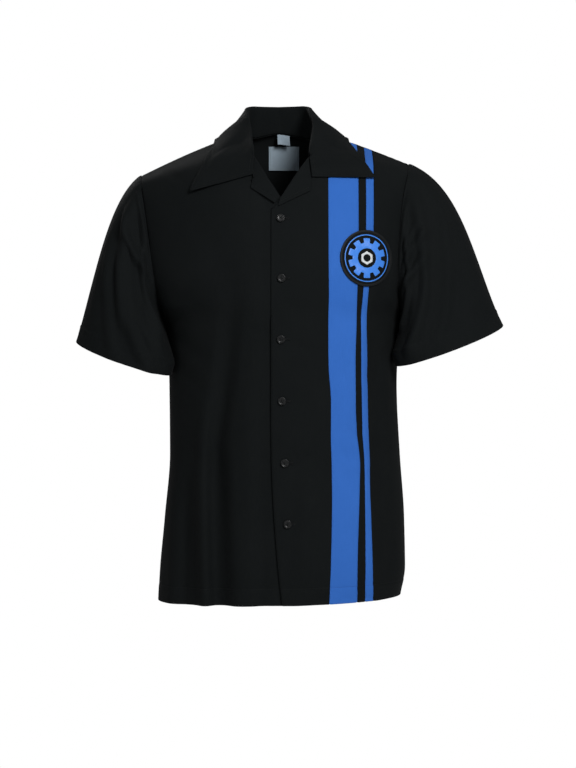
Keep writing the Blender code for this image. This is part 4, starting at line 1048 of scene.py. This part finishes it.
def pushed_clear(points, lift):
    """The points, moved out to lie at least this far from the body."""
    shape = points.shape[:-1]
    points, lift = points.reshape(-1, 3), np.broadcast_to(lift, shape).reshape(-1)
    start = np.argmin(((points[:, None] - NET_POINTS[None]) ** 2).sum(-1), axis=1)
    side, across, level = NET_SIDE[start], NET_ACROSS[start].copy(), NET_LEVEL[start].copy()
    best = np.linalg.norm(points - NET_POINTS[start], axis=1)
    step = 0.6
    while step > 0.004:
        for da, dl in ((0.1, 0), (-0.1, 0), (0, 0.25), (0, -0.25)):
            a, b = np.clip(across + da * step, -1, 1), np.clip(level + dl * step, 0, SHOULDER)
            far = np.linalg.norm(on_either(body_point, side, a, b) - points, axis=1)
            closer = far < best
            across, level = np.where(closer, a, across), np.where(closer, b, level)
            best = np.where(closer, far, best)
        step *= 0.8
    on, normal = on_either(body_point, side, across, level), on_either(body_normal, side, across, level)
    away = ((points - on) * normal).sum(1)
    return np.where((away < lift)[:, None], on + normal * lift[:, None], points).reshape(*shape, 3)


# %% [markdown]
# ## 10. The collar
# At each station along the collar its section goes up from the neck seam, over the roll and down over the
# shirt. A real collar is sewn flat, then folded over. It is built already folded, because the line of the
# fold and the two points make its look.

# %% The collar
# share of the way from the back to the front, neck, x, y and z of the fold, radius of the roll
COLLAR = [
    (0.00, 0.00, 0.0000, 0.0760, 0.0635, 0.0034),
    (0.20, 0.50, 0.0360, 0.0690, 0.0635, 0.0034),
    (0.38, 0.82, 0.0505, 0.0470, 0.0580, 0.0034),
    (0.52, 1.00, 0.0510, 0.0140, 0.0400, 0.0034),
    (0.70, 0.86, 0.0480, -0.0280, 0.0080, 0.0032),
    (0.86, 0.72, 0.0455, -0.0640, -0.0140, 0.0030),
    (1.00, 0.62, 0.0438, -0.0870, -0.0310, 0.0026),
]
FOLD_MID_BACK, FOLD_MID_FRONT, FOLD_MID_START, FOLD_MID_RUN = -0.0015, 0.0045, 0.38, 0.30
SIDE_SHARE, TIP_SHARE = 0.52, 0.72
# the lower edge of the fall, round to the shoulder: share, x, y and z
BACK_EDGE = [
    (0.00, 0.0000, 0.1040, -0.0060),
    (0.20, 0.0560, 0.0960, -0.0060),
    (0.38, 0.0930, 0.0560, -0.0050),
    (0.52, 0.1040, 0.0080, -0.0045),
]
# x and z of the collar's point and of its notch
TIPS = {-1: (-0.1330, -0.0932, -0.0396, -0.0675), 1: (0.1470, -0.0698, 0.0515, -0.0715)}
COLLAR_WALL, COLLAR_LIFT, STAND_GAP = 0.0020, 0.0028, 0.0016
COLLAR_STITCH, GROOVE_WIDTH = 0.0052, 0.0012  # from the edge to the topstitching, and the groove it makes
# where the cloth of the collar breaks softly: share, width, depth
COLLAR_BREAKS = [(-0.60, 0.05, 0.0010), (0.60, 0.05, 0.0010), (-0.84, 0.04, 0.0008), (0.82, 0.04, 0.0008)]
STITCH_GROOVE, EDGE_SWELL, COLLAR_PUCKER, COLLAR_DRIFT = 0.00042, 0.00025, 0.00020, 0.0007
RIDGE_SHARE, RIDGE_LIFT, RIDGE_RUN, FALL_PUFF = 0.58, 0.0026, 0.32, 0.0020
READ_COLLAR = reader([row[0] for row in COLLAR], COLLAR)
READ_BACK_EDGE = reader([row[0] for row in BACK_EDGE], BACK_EDGE)
NEAR_TIP = TIP_SHARE + np.array([-0.006, 0.006])
STATIONS = np.unique(np.concatenate([np.linspace(0, 1, 84), [TIP_SHARE, 0.994, 0.997], NEAR_TIP]))
FALL_WAYS = spaced(0.075, 0.0030, fine_start=False)


def collar_edge(sign, share):
    x, z, notch_x, notch_z = TIPS[sign]
    _, bx, by, bz = np.moveaxis(READ_BACK_EDGE(np.minimum(share, SIDE_SHARE)), -1, 0)
    back = pushed_clear(stack(NECK_MID + sign * bx, by, bz), COLLAR_LIFT)
    side_x, side_z = NECK_MID + sign * BACK_EDGE[-1][1], BACK_EDGE[-1][3]
    way = np.clip((share - SIDE_SHARE) / (TIP_SHARE - SIDE_SHARE), 0, 1)
    down = laid(F, mix(side_x, x, way), mix(side_z, z, way), COLLAR_LIFT)
    way = np.clip((share - TIP_SHARE) / (1 - TIP_SHARE), 0, 1)
    front = laid(F, mix(x, notch_x, way), mix(z, notch_z, way), COLLAR_LIFT)
    front = np.where((share >= TIP_SHARE)[..., None], front, down)
    return np.where((share > SIDE_SHARE)[..., None], front, back)


def collar_half(sign):
    share = STATIONS
    _, neck, fold_x, fold_y, fold_z, roll = np.moveaxis(READ_COLLAR(share), -1, 0)
    x = NECK_MID + sign * np.minimum(neck, 1) * NECK_HALF
    seams = []
    for side in (B, F):
        level = top_level(side, x)
        across = across_of(side, x, level)
        seams.append(body_point(side, across, level) - body_normal(side, across, level) * 0.0007)
    seam = np.where((share < SIDE_SHARE)[:, None], *seams)
    middle = mix(FOLD_MID_BACK, FOLD_MID_FRONT, smooth((share - FOLD_MID_START) / FOLD_MID_RUN))
    fold, edge = stack(middle + sign * fold_x, fold_y, fold_z), collar_edge(sign, share)
    up = unit(fold - seam)
    seam = seam + up * STAND_GAP
    out = edge - fold
    out = unit(out - up * (out * up).sum(-1, keepdims=True))
    centre = fold - up * roll[:, None]
    section = [mix(seam, centre - out * roll[:, None], way) for way in np.linspace(0, 1, 9)]
    for turn in np.radians(np.arange(22.5, 180, 22.5)):
        section.append(centre - out * roll[:, None] * math.cos(turn) + up * roll[:, None] * math.sin(turn))
    top = centre + out * roll[:, None]
    way = FALL_WAYS[None, :]
    ridge = 1 - smooth(np.abs(share - RIDGE_SHARE) / RIDGE_RUN)
    down = unit(edge - top)
    bulge = unit(up - down * (up * down).sum(-1, keepdims=True)) * FALL_PUFF * ridge[:, None]
    arch = np.sin(math.pi * way)
    straight = mix(top[:, None], edge[:, None], way[..., None]) + bulge[:, None] * arch[..., None]
    lift = COLLAR_LIFT + RIDGE_LIFT * ridge[:, None] * (0.35 + 0.65 * np.sqrt(np.maximum(arch, 0)))
    fall = pushed_clear(straight, lift)
    fall[:, 0] = straight[:, 0]
    return np.concatenate([np.stack(section, 1), fall], 1)


halves = {sign: collar_half(sign) for sign in (-1, 1)}
collar_middle = np.concatenate([halves[-1][::-1], halves[1][1:]])
# from -1 at the wearer's right end to 1 at the left one
collar_signed = np.concatenate([-STATIONS[::-1], STATIONS[1:]])
print("collar", collar_middle.shape)


# %% The collar as cloth
def collar_cloth():
    middle = collar_middle
    along, up = np.gradient(middle, axis=0), np.gradient(middle, axis=1)
    normal = unit(np.cross(along, up))  # away from the neck on the stand, upwards and out on the fall
    sideways = metres_along(middle, 0)
    lengths = metres_along(middle, 1)
    to_edge = lengths[:, -1:] - lengths
    from_end = np.minimum(sideways, sideways[-1:] - sideways)
    rim = np.minimum(to_edge, from_end)
    depth = STITCH_GROOVE * bell((rim - COLLAR_STITCH) / GROOVE_WIDTH)
    depth = depth - EDGE_SWELL * smooth((COLLAR_STITCH - rim) / 0.003)
    depth = depth + COLLAR_PUCKER * pucker(sideways, rim - COLLAR_STITCH, 0.011, 0.005, 41)
    depth = depth + COLLAR_DRIFT * drift(sideways * 0.9, to_edge * 1.3, 42) * smooth(to_edge / 0.02)
    share = collar_signed[:, None]
    # the point at the wearer's right stands off the chest, and the left one a little
    for sign, most in ((-1, 0.0040), (1, 0.0012)):
        tip_away = np.linalg.norm(middle - laid(F, *TIPS[sign][:2], 0.003), axis=-1)
        depth = depth - most * (1 - smooth(tip_away / 0.055))
    # a soft break over the collar bone, and one where the fall turns round the side of the neck
    for at, width, size in COLLAR_BREAKS:
        depth = depth + size * bell((share - at) / width) * smooth(to_edge / 0.02) * smooth(lengths / 0.05)
    outer = middle + normal * (COLLAR_WALL / 2 - depth)[..., None]
    return outer, normal


collar_outer, collar_normal = collar_cloth()
collar_made = cloth("collar_cloth", collar_outer, COLLAR_WALL, BLACK, outward=-1, uv_turn=math.pi / 2)
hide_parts("collar")
print("collar", len(collar_made.data.polygons), "faces")

# %% [markdown]
# ## 11. Lapels
# The turned-out top of each front, with the roll on its inner side and topstitching along its outer one. On
# a real shirt a lapel is the front's own facing, turned out. It is laid on as a piece, so that the front
# keeps a simple edge below it.

# %% Lapels
# roll, foot, tip, corner and notch: x and z of each
LAPELS = {
    -1: [(-0.0378, -0.0370), (0.0000, -0.1030), (-0.0060, -0.1120), (-0.0425, -0.0885), (-0.0376, -0.0690)],
    1: [(0.0455, -0.0390), (0.0032, -0.1040), (0.0000, -0.1170), (0.0482, -0.0934), (0.0485, -0.0735)],
}
LAPEL_LIFT, LAPEL_PUFF, LAPEL_WALL, CORNER_AT = 0.0006, 0.0012, 0.0019, 1 / 3
LAPEL_LENGTH, LAPEL_WIDTH, ROLL_WIDTH = 0.085, 0.045, 0.0014  # about, for the mesh and the relief


def make_lapel(name, sign):
    roll, foot, tip, corner, notch = np.array(LAPELS[sign])
    near_corner = [CORNER_AT - 0.012, CORNER_AT, CORNER_AT + 0.012]
    down = np.unique(np.concatenate([spaced(LAPEL_LENGTH, 0.0022), near_corner]))[:, None]
    across = spaced(LAPEL_WIDTH, 0.0026)[None, :]
    inside = mix(roll, foot, down[..., None])
    outside = np.where(
        (down <= CORNER_AT)[..., None],
        mix(notch, corner, (down / CORNER_AT)[..., None]),
        mix(corner, tip, ((down - CORNER_AT) / (1 - CORNER_AT))[..., None]),
    )
    x, z = np.moveaxis(mix(inside, outside, across[..., None]), -1, 0)
    lift = LAPEL_LIFT + LAPEL_WALL + LAPEL_PUFF * (1 - across) * np.sin(math.pi * down)
    flat = laid(F, x, z, 0.002)
    rim = np.linalg.norm(flat - flat[:, -1:], axis=-1)
    top = np.linalg.norm(flat - flat[:1], axis=-1)
    stitched = bell((rim - COLLAR_STITCH) / GROOVE_WIDTH) * smooth(top / 0.01)
    gathers = pucker(down * LAPEL_LENGTH, rim - COLLAR_STITCH, 0.010, 0.004, 51 + sign)
    lift = lift - 0.00035 * stitched + 0.0003 * gathers
    lift = lift + 0.0004 * drift(x * 1.4, z * 1.4, 52 + sign)
    # the roll turns in over the front's edge
    lift = lift - 0.0010 * bell(across * LAPEL_WIDTH / ROLL_WIDTH)
    point = laid(F, x, z, lift)
    made = cloth(name + "_cloth", point, LAPEL_WALL, BLACK, outward=-sign, uv_turn=sign * 0.5)
    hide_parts(name)
    grids[name] = (point, grid_normals(point) * -sign, made)
    print(name, len(made.data.polygons), "faces")


LAPEL_NAMES = {-1: "lapel_right", 1: "lapel_left"}
for sign, name in LAPEL_NAMES.items():
    make_lapel(name, sign)

# %% [markdown]
# ## 12. The chest patch
# A round patch with a merrowed rim. Its artwork is a plain cog wheel with a nut in it, in embroidery
# thread. Each piece of embroidery is a raised sheet with a relief of single threads. The thread could be
# painted on, but only a raised sheet catches the light at its edge.

# %% The chest patch
PATCH_X, PATCH_Z, PATCH_RADIUS = 0.1350, -0.1962, 0.0435
PATCH_TURN = 0.94  # it lies on the turn of the chest, so it covers less width than height
PATCH_LIFT, PATCH_WALL = 0.0006, 0.0013
TEETH = 10


def patch_grid(radii, angles, lifts):
    """Points over the patch. radii and lifts have a row for each ring and a column for each angle."""
    x, z = PATCH_X + PATCH_TURN * radii * np.cos(angles), PATCH_Z + radii * np.sin(angles)
    return laid(F, x, z, lifts)


def polar_sheet(
    name, inside, outside, height, material, rings=8, sides=360, thread=0.0, thread_count=0, wall=0.0006
):
    """A ring of cloth or embroidery. inside and outside are functions from the angle to a radius."""
    angle = np.linspace(0, 2 * math.pi, sides, endpoint=False)[None, :]
    share = np.concatenate([[0, 0.04], np.linspace(0.12, 0.88, rings), [0.96, 1]])[:, None]
    radii = mix(inside(angle), outside(angle), share)
    crown = height * (0.55 + 0.45 * np.sqrt(np.maximum(1 - (2 * share - 1) ** 2, 0)))
    threads = thread * np.cos(angle * thread_count + share * 2.4) * np.sin(math.pi * share)
    lifts = PATCH_LIFT + PATCH_WALL + crown + threads
    point = patch_grid(radii, angle + 0 * share, lifts)
    return cloth(name, point, wall, material, ring=True, outward=-1)


def cog(angle):
    turn = (angle * TEETH / (2 * math.pi)) % 1
    flank = smooth((0.5 - np.abs(turn - 0.5) - 0.16) / 0.075)
    return mix(0.0235, 0.0305, flank)


def hexagon(angle):
    return 0.0105 * math.cos(math.pi / 6) / np.cos((angle + math.pi / 6) % (math.pi / 3) - math.pi / 6)


def circle(radius):
    return lambda angle: radius + 0 * angle


angle = np.linspace(0, 2 * math.pi, 160, endpoint=False)[None, :]
share = np.linspace(0.02, 1, 18)[:, None]
twill = PATCH_LIFT + PATCH_WALL + 0.0004 * (1 - share**2)
ground = patch_grid(share * (PATCH_RADIUS - 0.0010), angle + 0 * share, twill + 0 * angle)
patch = cloth("patch_ground", ground, PATCH_WALL, BLACK, ring=True, outward=-1)
inner_edge, outer_edge = circle(PATCH_RADIUS - 0.0034), circle(PATCH_RADIUS)
# name, inner and outer edge, height, thread, rings and sides of the mesh, depth and number of the threads
rim = polar_sheet("patch_rim", inner_edge, outer_edge, 0.0008, THREAD, 8, 720, 0.00012, 240, wall=0.0020)
wheel = polar_sheet("patch_cog", circle(0.0150), cog, 0.0007, BLUE_THREAD, 10, 720, 0.00010, 180)
nut = polar_sheet("patch_nut", circle(0.0058), hexagon, 0.0007, PALE_THREAD, 6, 480, 0.00009, 96)
fine_ring = polar_sheet(
    "patch_ring", circle(0.0350), circle(0.0366), 0.0005, BLUE_THREAD, 4, 480, 0.00007, 200
)
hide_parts("chest_patch")
print("patch:", [len(piece.data.polygons) for piece in (patch, rim, wheel, nut, fine_ring)], "faces")

# %% [markdown]
# ## 13. Neck label and size tag
# The label hangs inside the back of the neck. It is a folded strip of satin, sewn down at its ends, and a
# small folded tag is caught in the neck seam above it. Both are bare. A flat card would do from afar. They
# are bowed a little, because a label that is sewn down at its ends seldom lies flat.

# %% Neck label and size tag
LABEL_WIDTH, LABEL_HEIGHT, LABEL_X, LABEL_Z = 0.050, 0.038, 0.0078, -0.0170
INSIDE = -(0.0014 + 0.0014)  # from the outside of the back to the label
SATIN_WALL = 0.0005


def make_label(name, x, z, width, height, gap, material, fold, seed):
    across, up = np.meshgrid(spaced(width, 0.0014), spaced(height, 0.0014), indexing="xy")
    px, pz = x + width * (across - 0.5), z + height * (up - 0.5)
    edge_x = width * np.minimum(across, 1 - across)
    lift = INSIDE - gap - 0.0007 * np.sin(math.pi * up) * np.sin(math.pi * across)
    gathers = pucker(pz, edge_x - 0.002, 0.006, 0.003, seed)
    lift = lift - 0.00025 * (1 - smooth((edge_x - fold) / 0.0012)) - 0.00008 * gathers
    point = laid(B, px, pz, lift)
    made = cloth(name, point, SATIN_WALL, material)
    grids[name] = (point, grid_normals(point), made)
    return made


label = make_label("neck_label_satin", LABEL_X, LABEL_Z, LABEL_WIDTH, LABEL_HEIGHT, 0.0001, SATIN, 0.004, 61)
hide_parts("neck_label")
TAG_X, TAG_WIDTH, TAG_HEIGHT = 0.0070, 0.0205, 0.0155


def make_tag():
    """It hangs straight down from the neck seam, a little askew."""
    across, up = np.meshgrid(spaced(TAG_WIDTH, 0.0012), spaced(TAG_HEIGHT, 0.0012), indexing="xy")
    x = TAG_X + TAG_WIDTH * (across - 0.5)
    level = top_level(B, x)
    place = B, across_of(B, x, level), level
    seam = body_point(*place) - body_normal(*place) * 0.0026
    down = (1 - up) * TAG_HEIGHT
    swing = 0.08 * down + 0.0007 * np.sin(math.pi * across) * (1 - up)
    point = seam + stack(0.05 * down, swing, -down)
    made = cloth("size_tag", point, SATIN_WALL, SATIN)
    grids["size_tag"] = (point, grid_normals(point), made)
    return made


tag = make_tag()
print("label", len(label.data.polygons), "and tag", len(tag.data.polygons), "faces")

# %% [markdown]
# ## 14. Topstitching
# Every stitch is a short length of thread that dips into the cloth at both ends. A bump texture could show
# stitches from afar. They are built, because they are seen from near too, and one mesh holds a whole line
# of them.

# %% Topstitching
STITCH, STITCH_GAP, THREAD_RADIUS = 0.0026, 0.0005, 0.00023
STITCH_JITTER, STITCH_SIDES = 0.00006, 6
# share of the stitch's length, then thickness and height there in radii of the thread
STITCH_SHAPE = [(0.0, 0.35, -0.9), (0.18, 0.95, 0.35), (0.5, 1.0, 0.8), (0.82, 0.95, 0.35), (1.0, 0.35, -0.9)]


def tube_faces(rings, sides):
    """The faces of a closed tube: first its walls, then its two ends."""
    walls = []
    for k in range(rings - 1):
        for c in range(sides):
            near, far = k * sides, (k + 1) * sides
            walls.append([near + c, near + (c + 1) % sides, far + (c + 1) % sides, far + c])
    return walls, [list(range(sides))[::-1], [(rings - 1) * sides + c for c in range(sides)]]


def iso_path(grid, normal, away, value, axis):
    """The line on a grid along which a distance has this value, row by row (axis 1) or column by column."""
    if axis == 1:
        grid, normal, away = np.swapaxes(grid, 0, 1), np.swapaxes(normal, 0, 1), away.T
    points, ups = [], []
    for j in range(grid.shape[1]):
        distance = away[:, j]
        order = np.argsort(distance)
        if not distance.min() <= value <= distance.max():
            continue
        points.append([np.interp(value, distance[order], grid[order, j, k]) for k in range(3)])
        ups.append([np.interp(value, distance[order], normal[order, j, k]) for k in range(3)])
    return np.array(points), unit(np.array(ups))


def sew(name, lines, closed=False, material=THREAD, length=STITCH, radius=THREAD_RADIUS):
    """One mesh of stitches along lines of (points, normals)."""
    points_out, faces, start = [], [], 0
    patterns, block_size = tube_faces(len(STITCH_SHAPE), STITCH_SIDES), len(STITCH_SHAPE) * STITCH_SIDES
    for points, ups in lines:
        if closed:
            points, ups = np.concatenate([points, points[:1]]), np.concatenate([ups, ups[:1]])
        lengths = np.concatenate([[0], np.cumsum(np.linalg.norm(np.diff(points, axis=0), axis=1))])
        count = int(lengths[-1] / (length + STITCH_GAP))
        begin = (np.arange(count) + 0.15) * lengths[-1] / count
        jitter = np.random.default_rng(len(points)).normal(0, STITCH_JITTER, (count, 4))

        def at(distance, values):
            return np.stack([np.interp(distance, lengths, values[:, k]) for k in range(3)], 1)

        rings = []
        along = unit(at(begin + length, points) - at(begin, points))
        for where, size, height in STITCH_SHAPE:
            centre, up = at(begin + where * length, points), unit(at(begin + where * length, ups))
            side = unit(np.cross(along, up))
            centre = centre + up * height * radius
            centre = centre + side * jitter[:, :1] * (1 - where) + side * jitter[:, 1:2] * where
            for corner in range(STITCH_SIDES):
                turn = math.pi * corner / 3
                rings.append(centre + (side * math.cos(turn) + up * math.sin(turn)) * radius * size)
        block = np.stack(rings, 1)  # stitch, ring point
        points_out.append(block.reshape(-1, 3))
        offsets = start + block_size * np.arange(count)
        for pattern in map(np.array, patterns):
            faces += (pattern[None] + offsets[:, None, None]).reshape(-1, pattern.shape[1]).tolist()
        start += block_size * count
    mesh_object(name, np.concatenate(points_out), faces, material)
    print(name, start // block_size, "stitches")


for name in PANELS:
    point, normal, _ = grids[name]
    line = iso_path(point, normal, metres_along(point, 0), HEM_TURN, 0)
    sew(name + "_hem_stitches", [line], material=BLUE_STITCH if PANELS[name][4] is BLUE else THREAD)
for name in ("sleeve_right", "sleeve_left"):
    point, normal, _ = grids[name]
    v = metres_along(point, 0)
    sew(name + "_cuff_stitches", [iso_path(point, normal, v[-1:] - v, HEM_TURN, 0)], closed=True)


def collar_line():
    """Along the fall's edge at the stitching's distance, and up both ends."""
    lengths, sideways = metres_along(collar_outer, 1), metres_along(collar_outer, 0)
    first, last = sideways[:, -1], sideways[-1, -1]
    inside = (first > COLLAR_STITCH) & (first < last - COLLAR_STITCH)
    to_edge = lengths[:, -1:] - lengths
    edge = iso_path(collar_outer[inside], collar_normal[inside], to_edge[inside], COLLAR_STITCH, 1)
    falls = slice(17, None)  # past the stand and the roll
    lines = [edge]
    for away in (sideways, sideways[-1:] - sideways):
        fall, normal = collar_outer[:, falls], collar_normal[:, falls]
        points, ups = iso_path(fall, normal, away[:, falls], COLLAR_STITCH, 0)
        keep = np.linalg.norm(points - points[-1], axis=1) > COLLAR_STITCH
        lines.append((points[keep], ups[keep]))
    return lines


sew("collar_stitches", collar_line())
for name in LAPEL_NAMES.values():
    point, normal, _ = grids[name]
    away = np.linalg.norm(point - point[:, -1:], axis=-1)
    points, ups = iso_path(point, normal, away, COLLAR_STITCH, 1)
    corner = int(len(points) * CORNER_AT)
    sew(name + "_stitches", [(points[corner:-3], ups[corner:-3])])

LABEL_INSET = 0.0022
point, normal, _ = grids["neck_label_satin"]
u = metres_along(point, 1)
ends = [iso_path(point, -normal, away, LABEL_INSET, 1) for away in (u, u[:, -1:] - u)]
sew("label_stitches", ends, length=0.0022, radius=0.00018)

# %% [markdown]
# ## 15. Buttons and buttonholes
# The buttons are turned from black horn-like plastic: a raised rim, a dished middle and four holes, sewn on
# with crossed thread. Each stands on a short shank of thread. The holes could be dark discs. They are cut
# with a Boolean, so that the thread passes through them, and one drilled mesh is copied for all the
# buttons.

# %% Buttons and buttonholes
BUTTONS = [  # x and z
    (0.0031, -0.1365), (0.0046, -0.2288), (0.0037, -0.3218),
    (0.0052, -0.4163), (0.0094, -0.5110), (0.0135, -0.6037),
]
BUTTON_STAND, HOLE_RADIUS, HOLE_OFFSET = 0.0008, 0.0008, 0.0014
BUTTON_PROFILE = [  # radius, height
    (0.0, 0.0), (0.0050, 0.0), (0.0057, 0.00012), (0.0061, 0.0005), (0.0063, 0.0011),
    (0.00625, 0.0018), (0.0060, 0.0024), (0.0056, 0.00275), (0.0052, 0.0028), (0.0049, 0.0026),
    (0.0046, 0.0021), (0.0042, 0.0018), (0.0036, 0.0017), (0.0, 0.0017),
]
BUTTON_SIDES = 56


def turned(profile, sides):
    """A closed solid of revolution about Z. The profile starts and ends on the axis."""
    points, faces = [(0, 0, profile[0][1])], []
    angles = 2 * math.pi * np.arange(sides) / sides
    for radius, height in profile[1:-1]:
        points += [(radius * math.cos(a), radius * math.sin(a), height) for a in angles]
    points.append((0, 0, profile[-1][1]))
    rings = len(profile) - 2

    def ring(k, i):
        return 1 + k * sides + i % sides

    for i in range(sides):
        faces.append((0, ring(0, i + 1), ring(0, i)))
        for k in range(rings - 1):
            faces.append((ring(k, i), ring(k, i + 1), ring(k + 1, i + 1), ring(k + 1, i)))
        faces.append((ring(rings - 1, i), ring(rings - 1, i + 1), len(points) - 1))
    return points, faces


def drilled_button():
    points, faces = turned(BUTTON_PROFILE, BUTTON_SIDES)
    blank = mesh_object("blank", points, faces, HORN)
    cutters = []
    for dx, dy in ((1, 1), (-1, 1), (-1, -1), (1, -1)):
        place = (dx * HOLE_OFFSET, dy * HOLE_OFFSET, 0)
        bpy.ops.mesh.primitive_cylinder_add(vertices=20, radius=HOLE_RADIUS, depth=0.01, location=place)
        cutters.append(bpy.context.object)
        cut = blank.modifiers.new("hole", "BOOLEAN")
        cut.operation, cut.solver, cut.object = "DIFFERENCE", "EXACT", cutters[-1]
    bpy.context.view_layer.update()
    drilled = bpy.data.meshes.new_from_object(blank.evaluated_get(bpy.context.evaluated_depsgraph_get()))
    for gone in (*cutters, blank):
        bpy.data.objects.remove(gone)
    drilled.name = "drilled button"
    drilled.set_sharp_from_angle(angle=math.radians(50))
    return drilled


def tube(points, radius, sides=8):
    """A round thread along a few points."""
    points = np.array(points, float)
    along = unit(np.gradient(points, axis=0))
    side = unit(np.cross(along, np.array([0.31, 0.22, 0.92])))
    up = np.cross(along, side)
    turns = 2 * math.pi * np.arange(sides) / sides
    rings = [points + (side * math.cos(t) + up * math.sin(t)) * radius for t in turns]
    verts = np.stack(rings, 1)
    walls, ends = tube_faces(len(points), sides)
    return verts.reshape(-1, 3), walls + ends


def joined(name, pieces, material):
    points, faces, start = [], [], 0
    for verts, sides in pieces:
        points.append(verts)
        faces += [[start + i for i in face] for face in sides]
        start += len(verts)
    mesh_object(name, np.concatenate(points), faces, material)


DISH_HEIGHT, STRAND_ARCH, STRAND_ABOVE, STRAND_SHIFT = 0.0017, 0.00055, 0.00025, 0.00028


def sewing_thread():
    """Three strands across each pair of holes, one pair above the other, and the shank below the button."""
    strands = []
    reach = HOLE_OFFSET + 0.0002
    for sign in (-1, 1):
        for shift in (-STRAND_SHIFT, 0.0, STRAND_SHIFT):
            line = []
            for t in np.linspace(-1, 1, 9):
                height = DISH_HEIGHT + STRAND_ARCH * (1 - abs(t) ** 4) + STRAND_ABOVE * (sign > 0)
                line.append((t * reach + shift * sign, sign * t * reach - shift, height))
            line = [(*line[0][:2], -0.0002), *line, (*line[-1][:2], -0.0002)]
            strands.append(tube(line, 0.00020))
    for turn in np.arange(0, 2 * math.pi, math.pi / 6):
        x, y = 0.0016 * math.cos(turn), 0.0016 * math.sin(turn)
        strands.append(tube([(x, y, 0.0003), (x * 0.8, y * 0.8, -0.0004), (x, y, -0.0012)], 0.00030))
    return strands


def frame_at(x, z, lift):
    point, normal = creased(F, *place_on(F, np.array(x), np.array(z)))
    side = unit(np.cross(np.array([0, 0, 1.0]), normal))
    return point + normal * lift, side, np.cross(normal, side), normal


button_mesh = drilled_button()
BUTTON_TURNS = [8, 42, 15, 71, 30, 55]  # degrees: no two are sewn on alike
HOLE_STITCHES, HOLE_START, HOLE_LENGTH = 34, -0.0035, 0.0165
# how far from the slit and how high each stitch of a buttonhole runs
HOLE_BOW = [(0.00015, 0.0), (0.0004, 0.00034), (0.0009, 0.00040), (0.0014, 0.00028), (0.0017, -0.0001)]
for number, ((x, z), turn) in enumerate(zip(BUTTONS, BUTTON_TURNS), 1):
    point, side, up, normal = frame_at(x, z, BUTTON_STAND)
    turn = math.radians(turn)
    first, second = side * math.cos(turn) + up * math.sin(turn), up * math.cos(turn) - side * math.sin(turn)
    basis = np.array([first, second, normal])
    button = bpy.data.objects.new(f"button_{number}_turned", button_mesh.copy())
    coordinates = np.array([tuple(v.co) for v in button_mesh.vertices]) @ basis + point
    button.data.vertices.foreach_set("co", coordinates.ravel())
    button.data.update()
    SHIRT.objects.link(button)
    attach(button, "root")
    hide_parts(f"button_{number}")
    strands = [(verts @ basis + point, faces) for verts, faces in sewing_thread()]
    joined(f"button_{number}_thread", strands, THREAD)
    # the buttonhole: two rows of close stitches beside a slit
    ribs = []
    for k in range(HOLE_STITCHES):
        t = HOLE_START + HOLE_LENGTH * k / (HOLE_STITCHES - 1)
        for row in (-1, 1):
            hole = [point - normal * BUTTON_STAND + side * t + up * row * y + normal * h for y, h in HOLE_BOW]
            ribs.append(tube(hole, 0.00024, 6))
    joined(f"buttonhole_{number}", ribs, THREAD)
print(len(BUTTONS), "buttons,", len(button_mesh.polygons), "faces each")

# %% [markdown]

# %% [markdown]
# ## 17. Room, lights and camera
# A pale floor as far below the shoulders as a standing wearer needs, even light from all round, and three
# soft lights: the key from the wearer's left, a weaker one from the right and one from behind. Even light
# alone would hide the folds of black cloth, so most of the light comes from one side.

# %% Room, lights and camera
floor_material, tree, shader = shader_of("pale floor")
shader.inputs["Base Color"].default_value = (0.80, 0.80, 0.80, 1)
shader.inputs["Roughness"].default_value = 0.9
glow = node(tree, "Emission", {"Color": (1, 1, 1, 1), "Strength": 1.0})
seen = node(tree, "LightPath").outputs["Is Camera Ray"]
mixed = node(tree, "MixShader", {0: seen, 1: shader.outputs[0], 2: glow.outputs[0]})
tree.links.new(mixed.outputs[0], tree.nodes["Material Output"].inputs["Surface"])
bpy.ops.mesh.primitive_plane_add(size=40, location=(0, 0, -1.46))
floor = bpy.context.object
floor.name = "floor"
floor.data.materials.append(floor_material)

world = bpy.data.worlds.new("studio")
world.use_nodes = True
tree = world.node_tree
background = tree.nodes["Background"]
background.inputs[0].default_value = (1, 1, 1, 1)
seen = node(tree, "LightPath").outputs["Is Camera Ray"]
strength = node(tree, "MapRange", {"Value": seen, "To Min": 0.22, "To Max": 1.0})
tree.links.new(strength.outputs[0], background.inputs[1])
bpy.context.scene.world = world


def soft_light(name, place, target, size, watts):
    light = bpy.data.lights.new(name, "AREA")
    light.shape, light.size, light.energy = "DISK", size, watts
    made = bpy.data.objects.new(name, light)
    bpy.context.scene.collection.objects.link(made)
    made.location = place
    aim = np.array(target) - np.array(place)
    made.rotation_euler = Vector(aim).to_track_quat("-Z", "Y").to_euler()


soft_light("key", (1.1, -2.4, 1.0), (0, 0, -0.30), 1.0, 73)
soft_light("fill", (-1.9, -2.2, 0.3), (0, 0, -0.35), 1.6, 10)
soft_light("back light", (-1.0, 2.6, 1.5), (0, 0, -0.35), 1.4, 22)

camera_data = bpy.data.cameras.new("camera")
camera_data.lens, camera_data.sensor_width = 87.9, 36
camera = bpy.data.objects.new("camera", camera_data)
camera.location = (0.0144, -3.0, -0.390)
camera.rotation_euler = (math.pi / 2, 0, 0)
bpy.context.scene.collection.objects.link(camera)
bpy.context.scene.camera = camera
bpy.context.scene.view_settings.view_transform = "Standard"
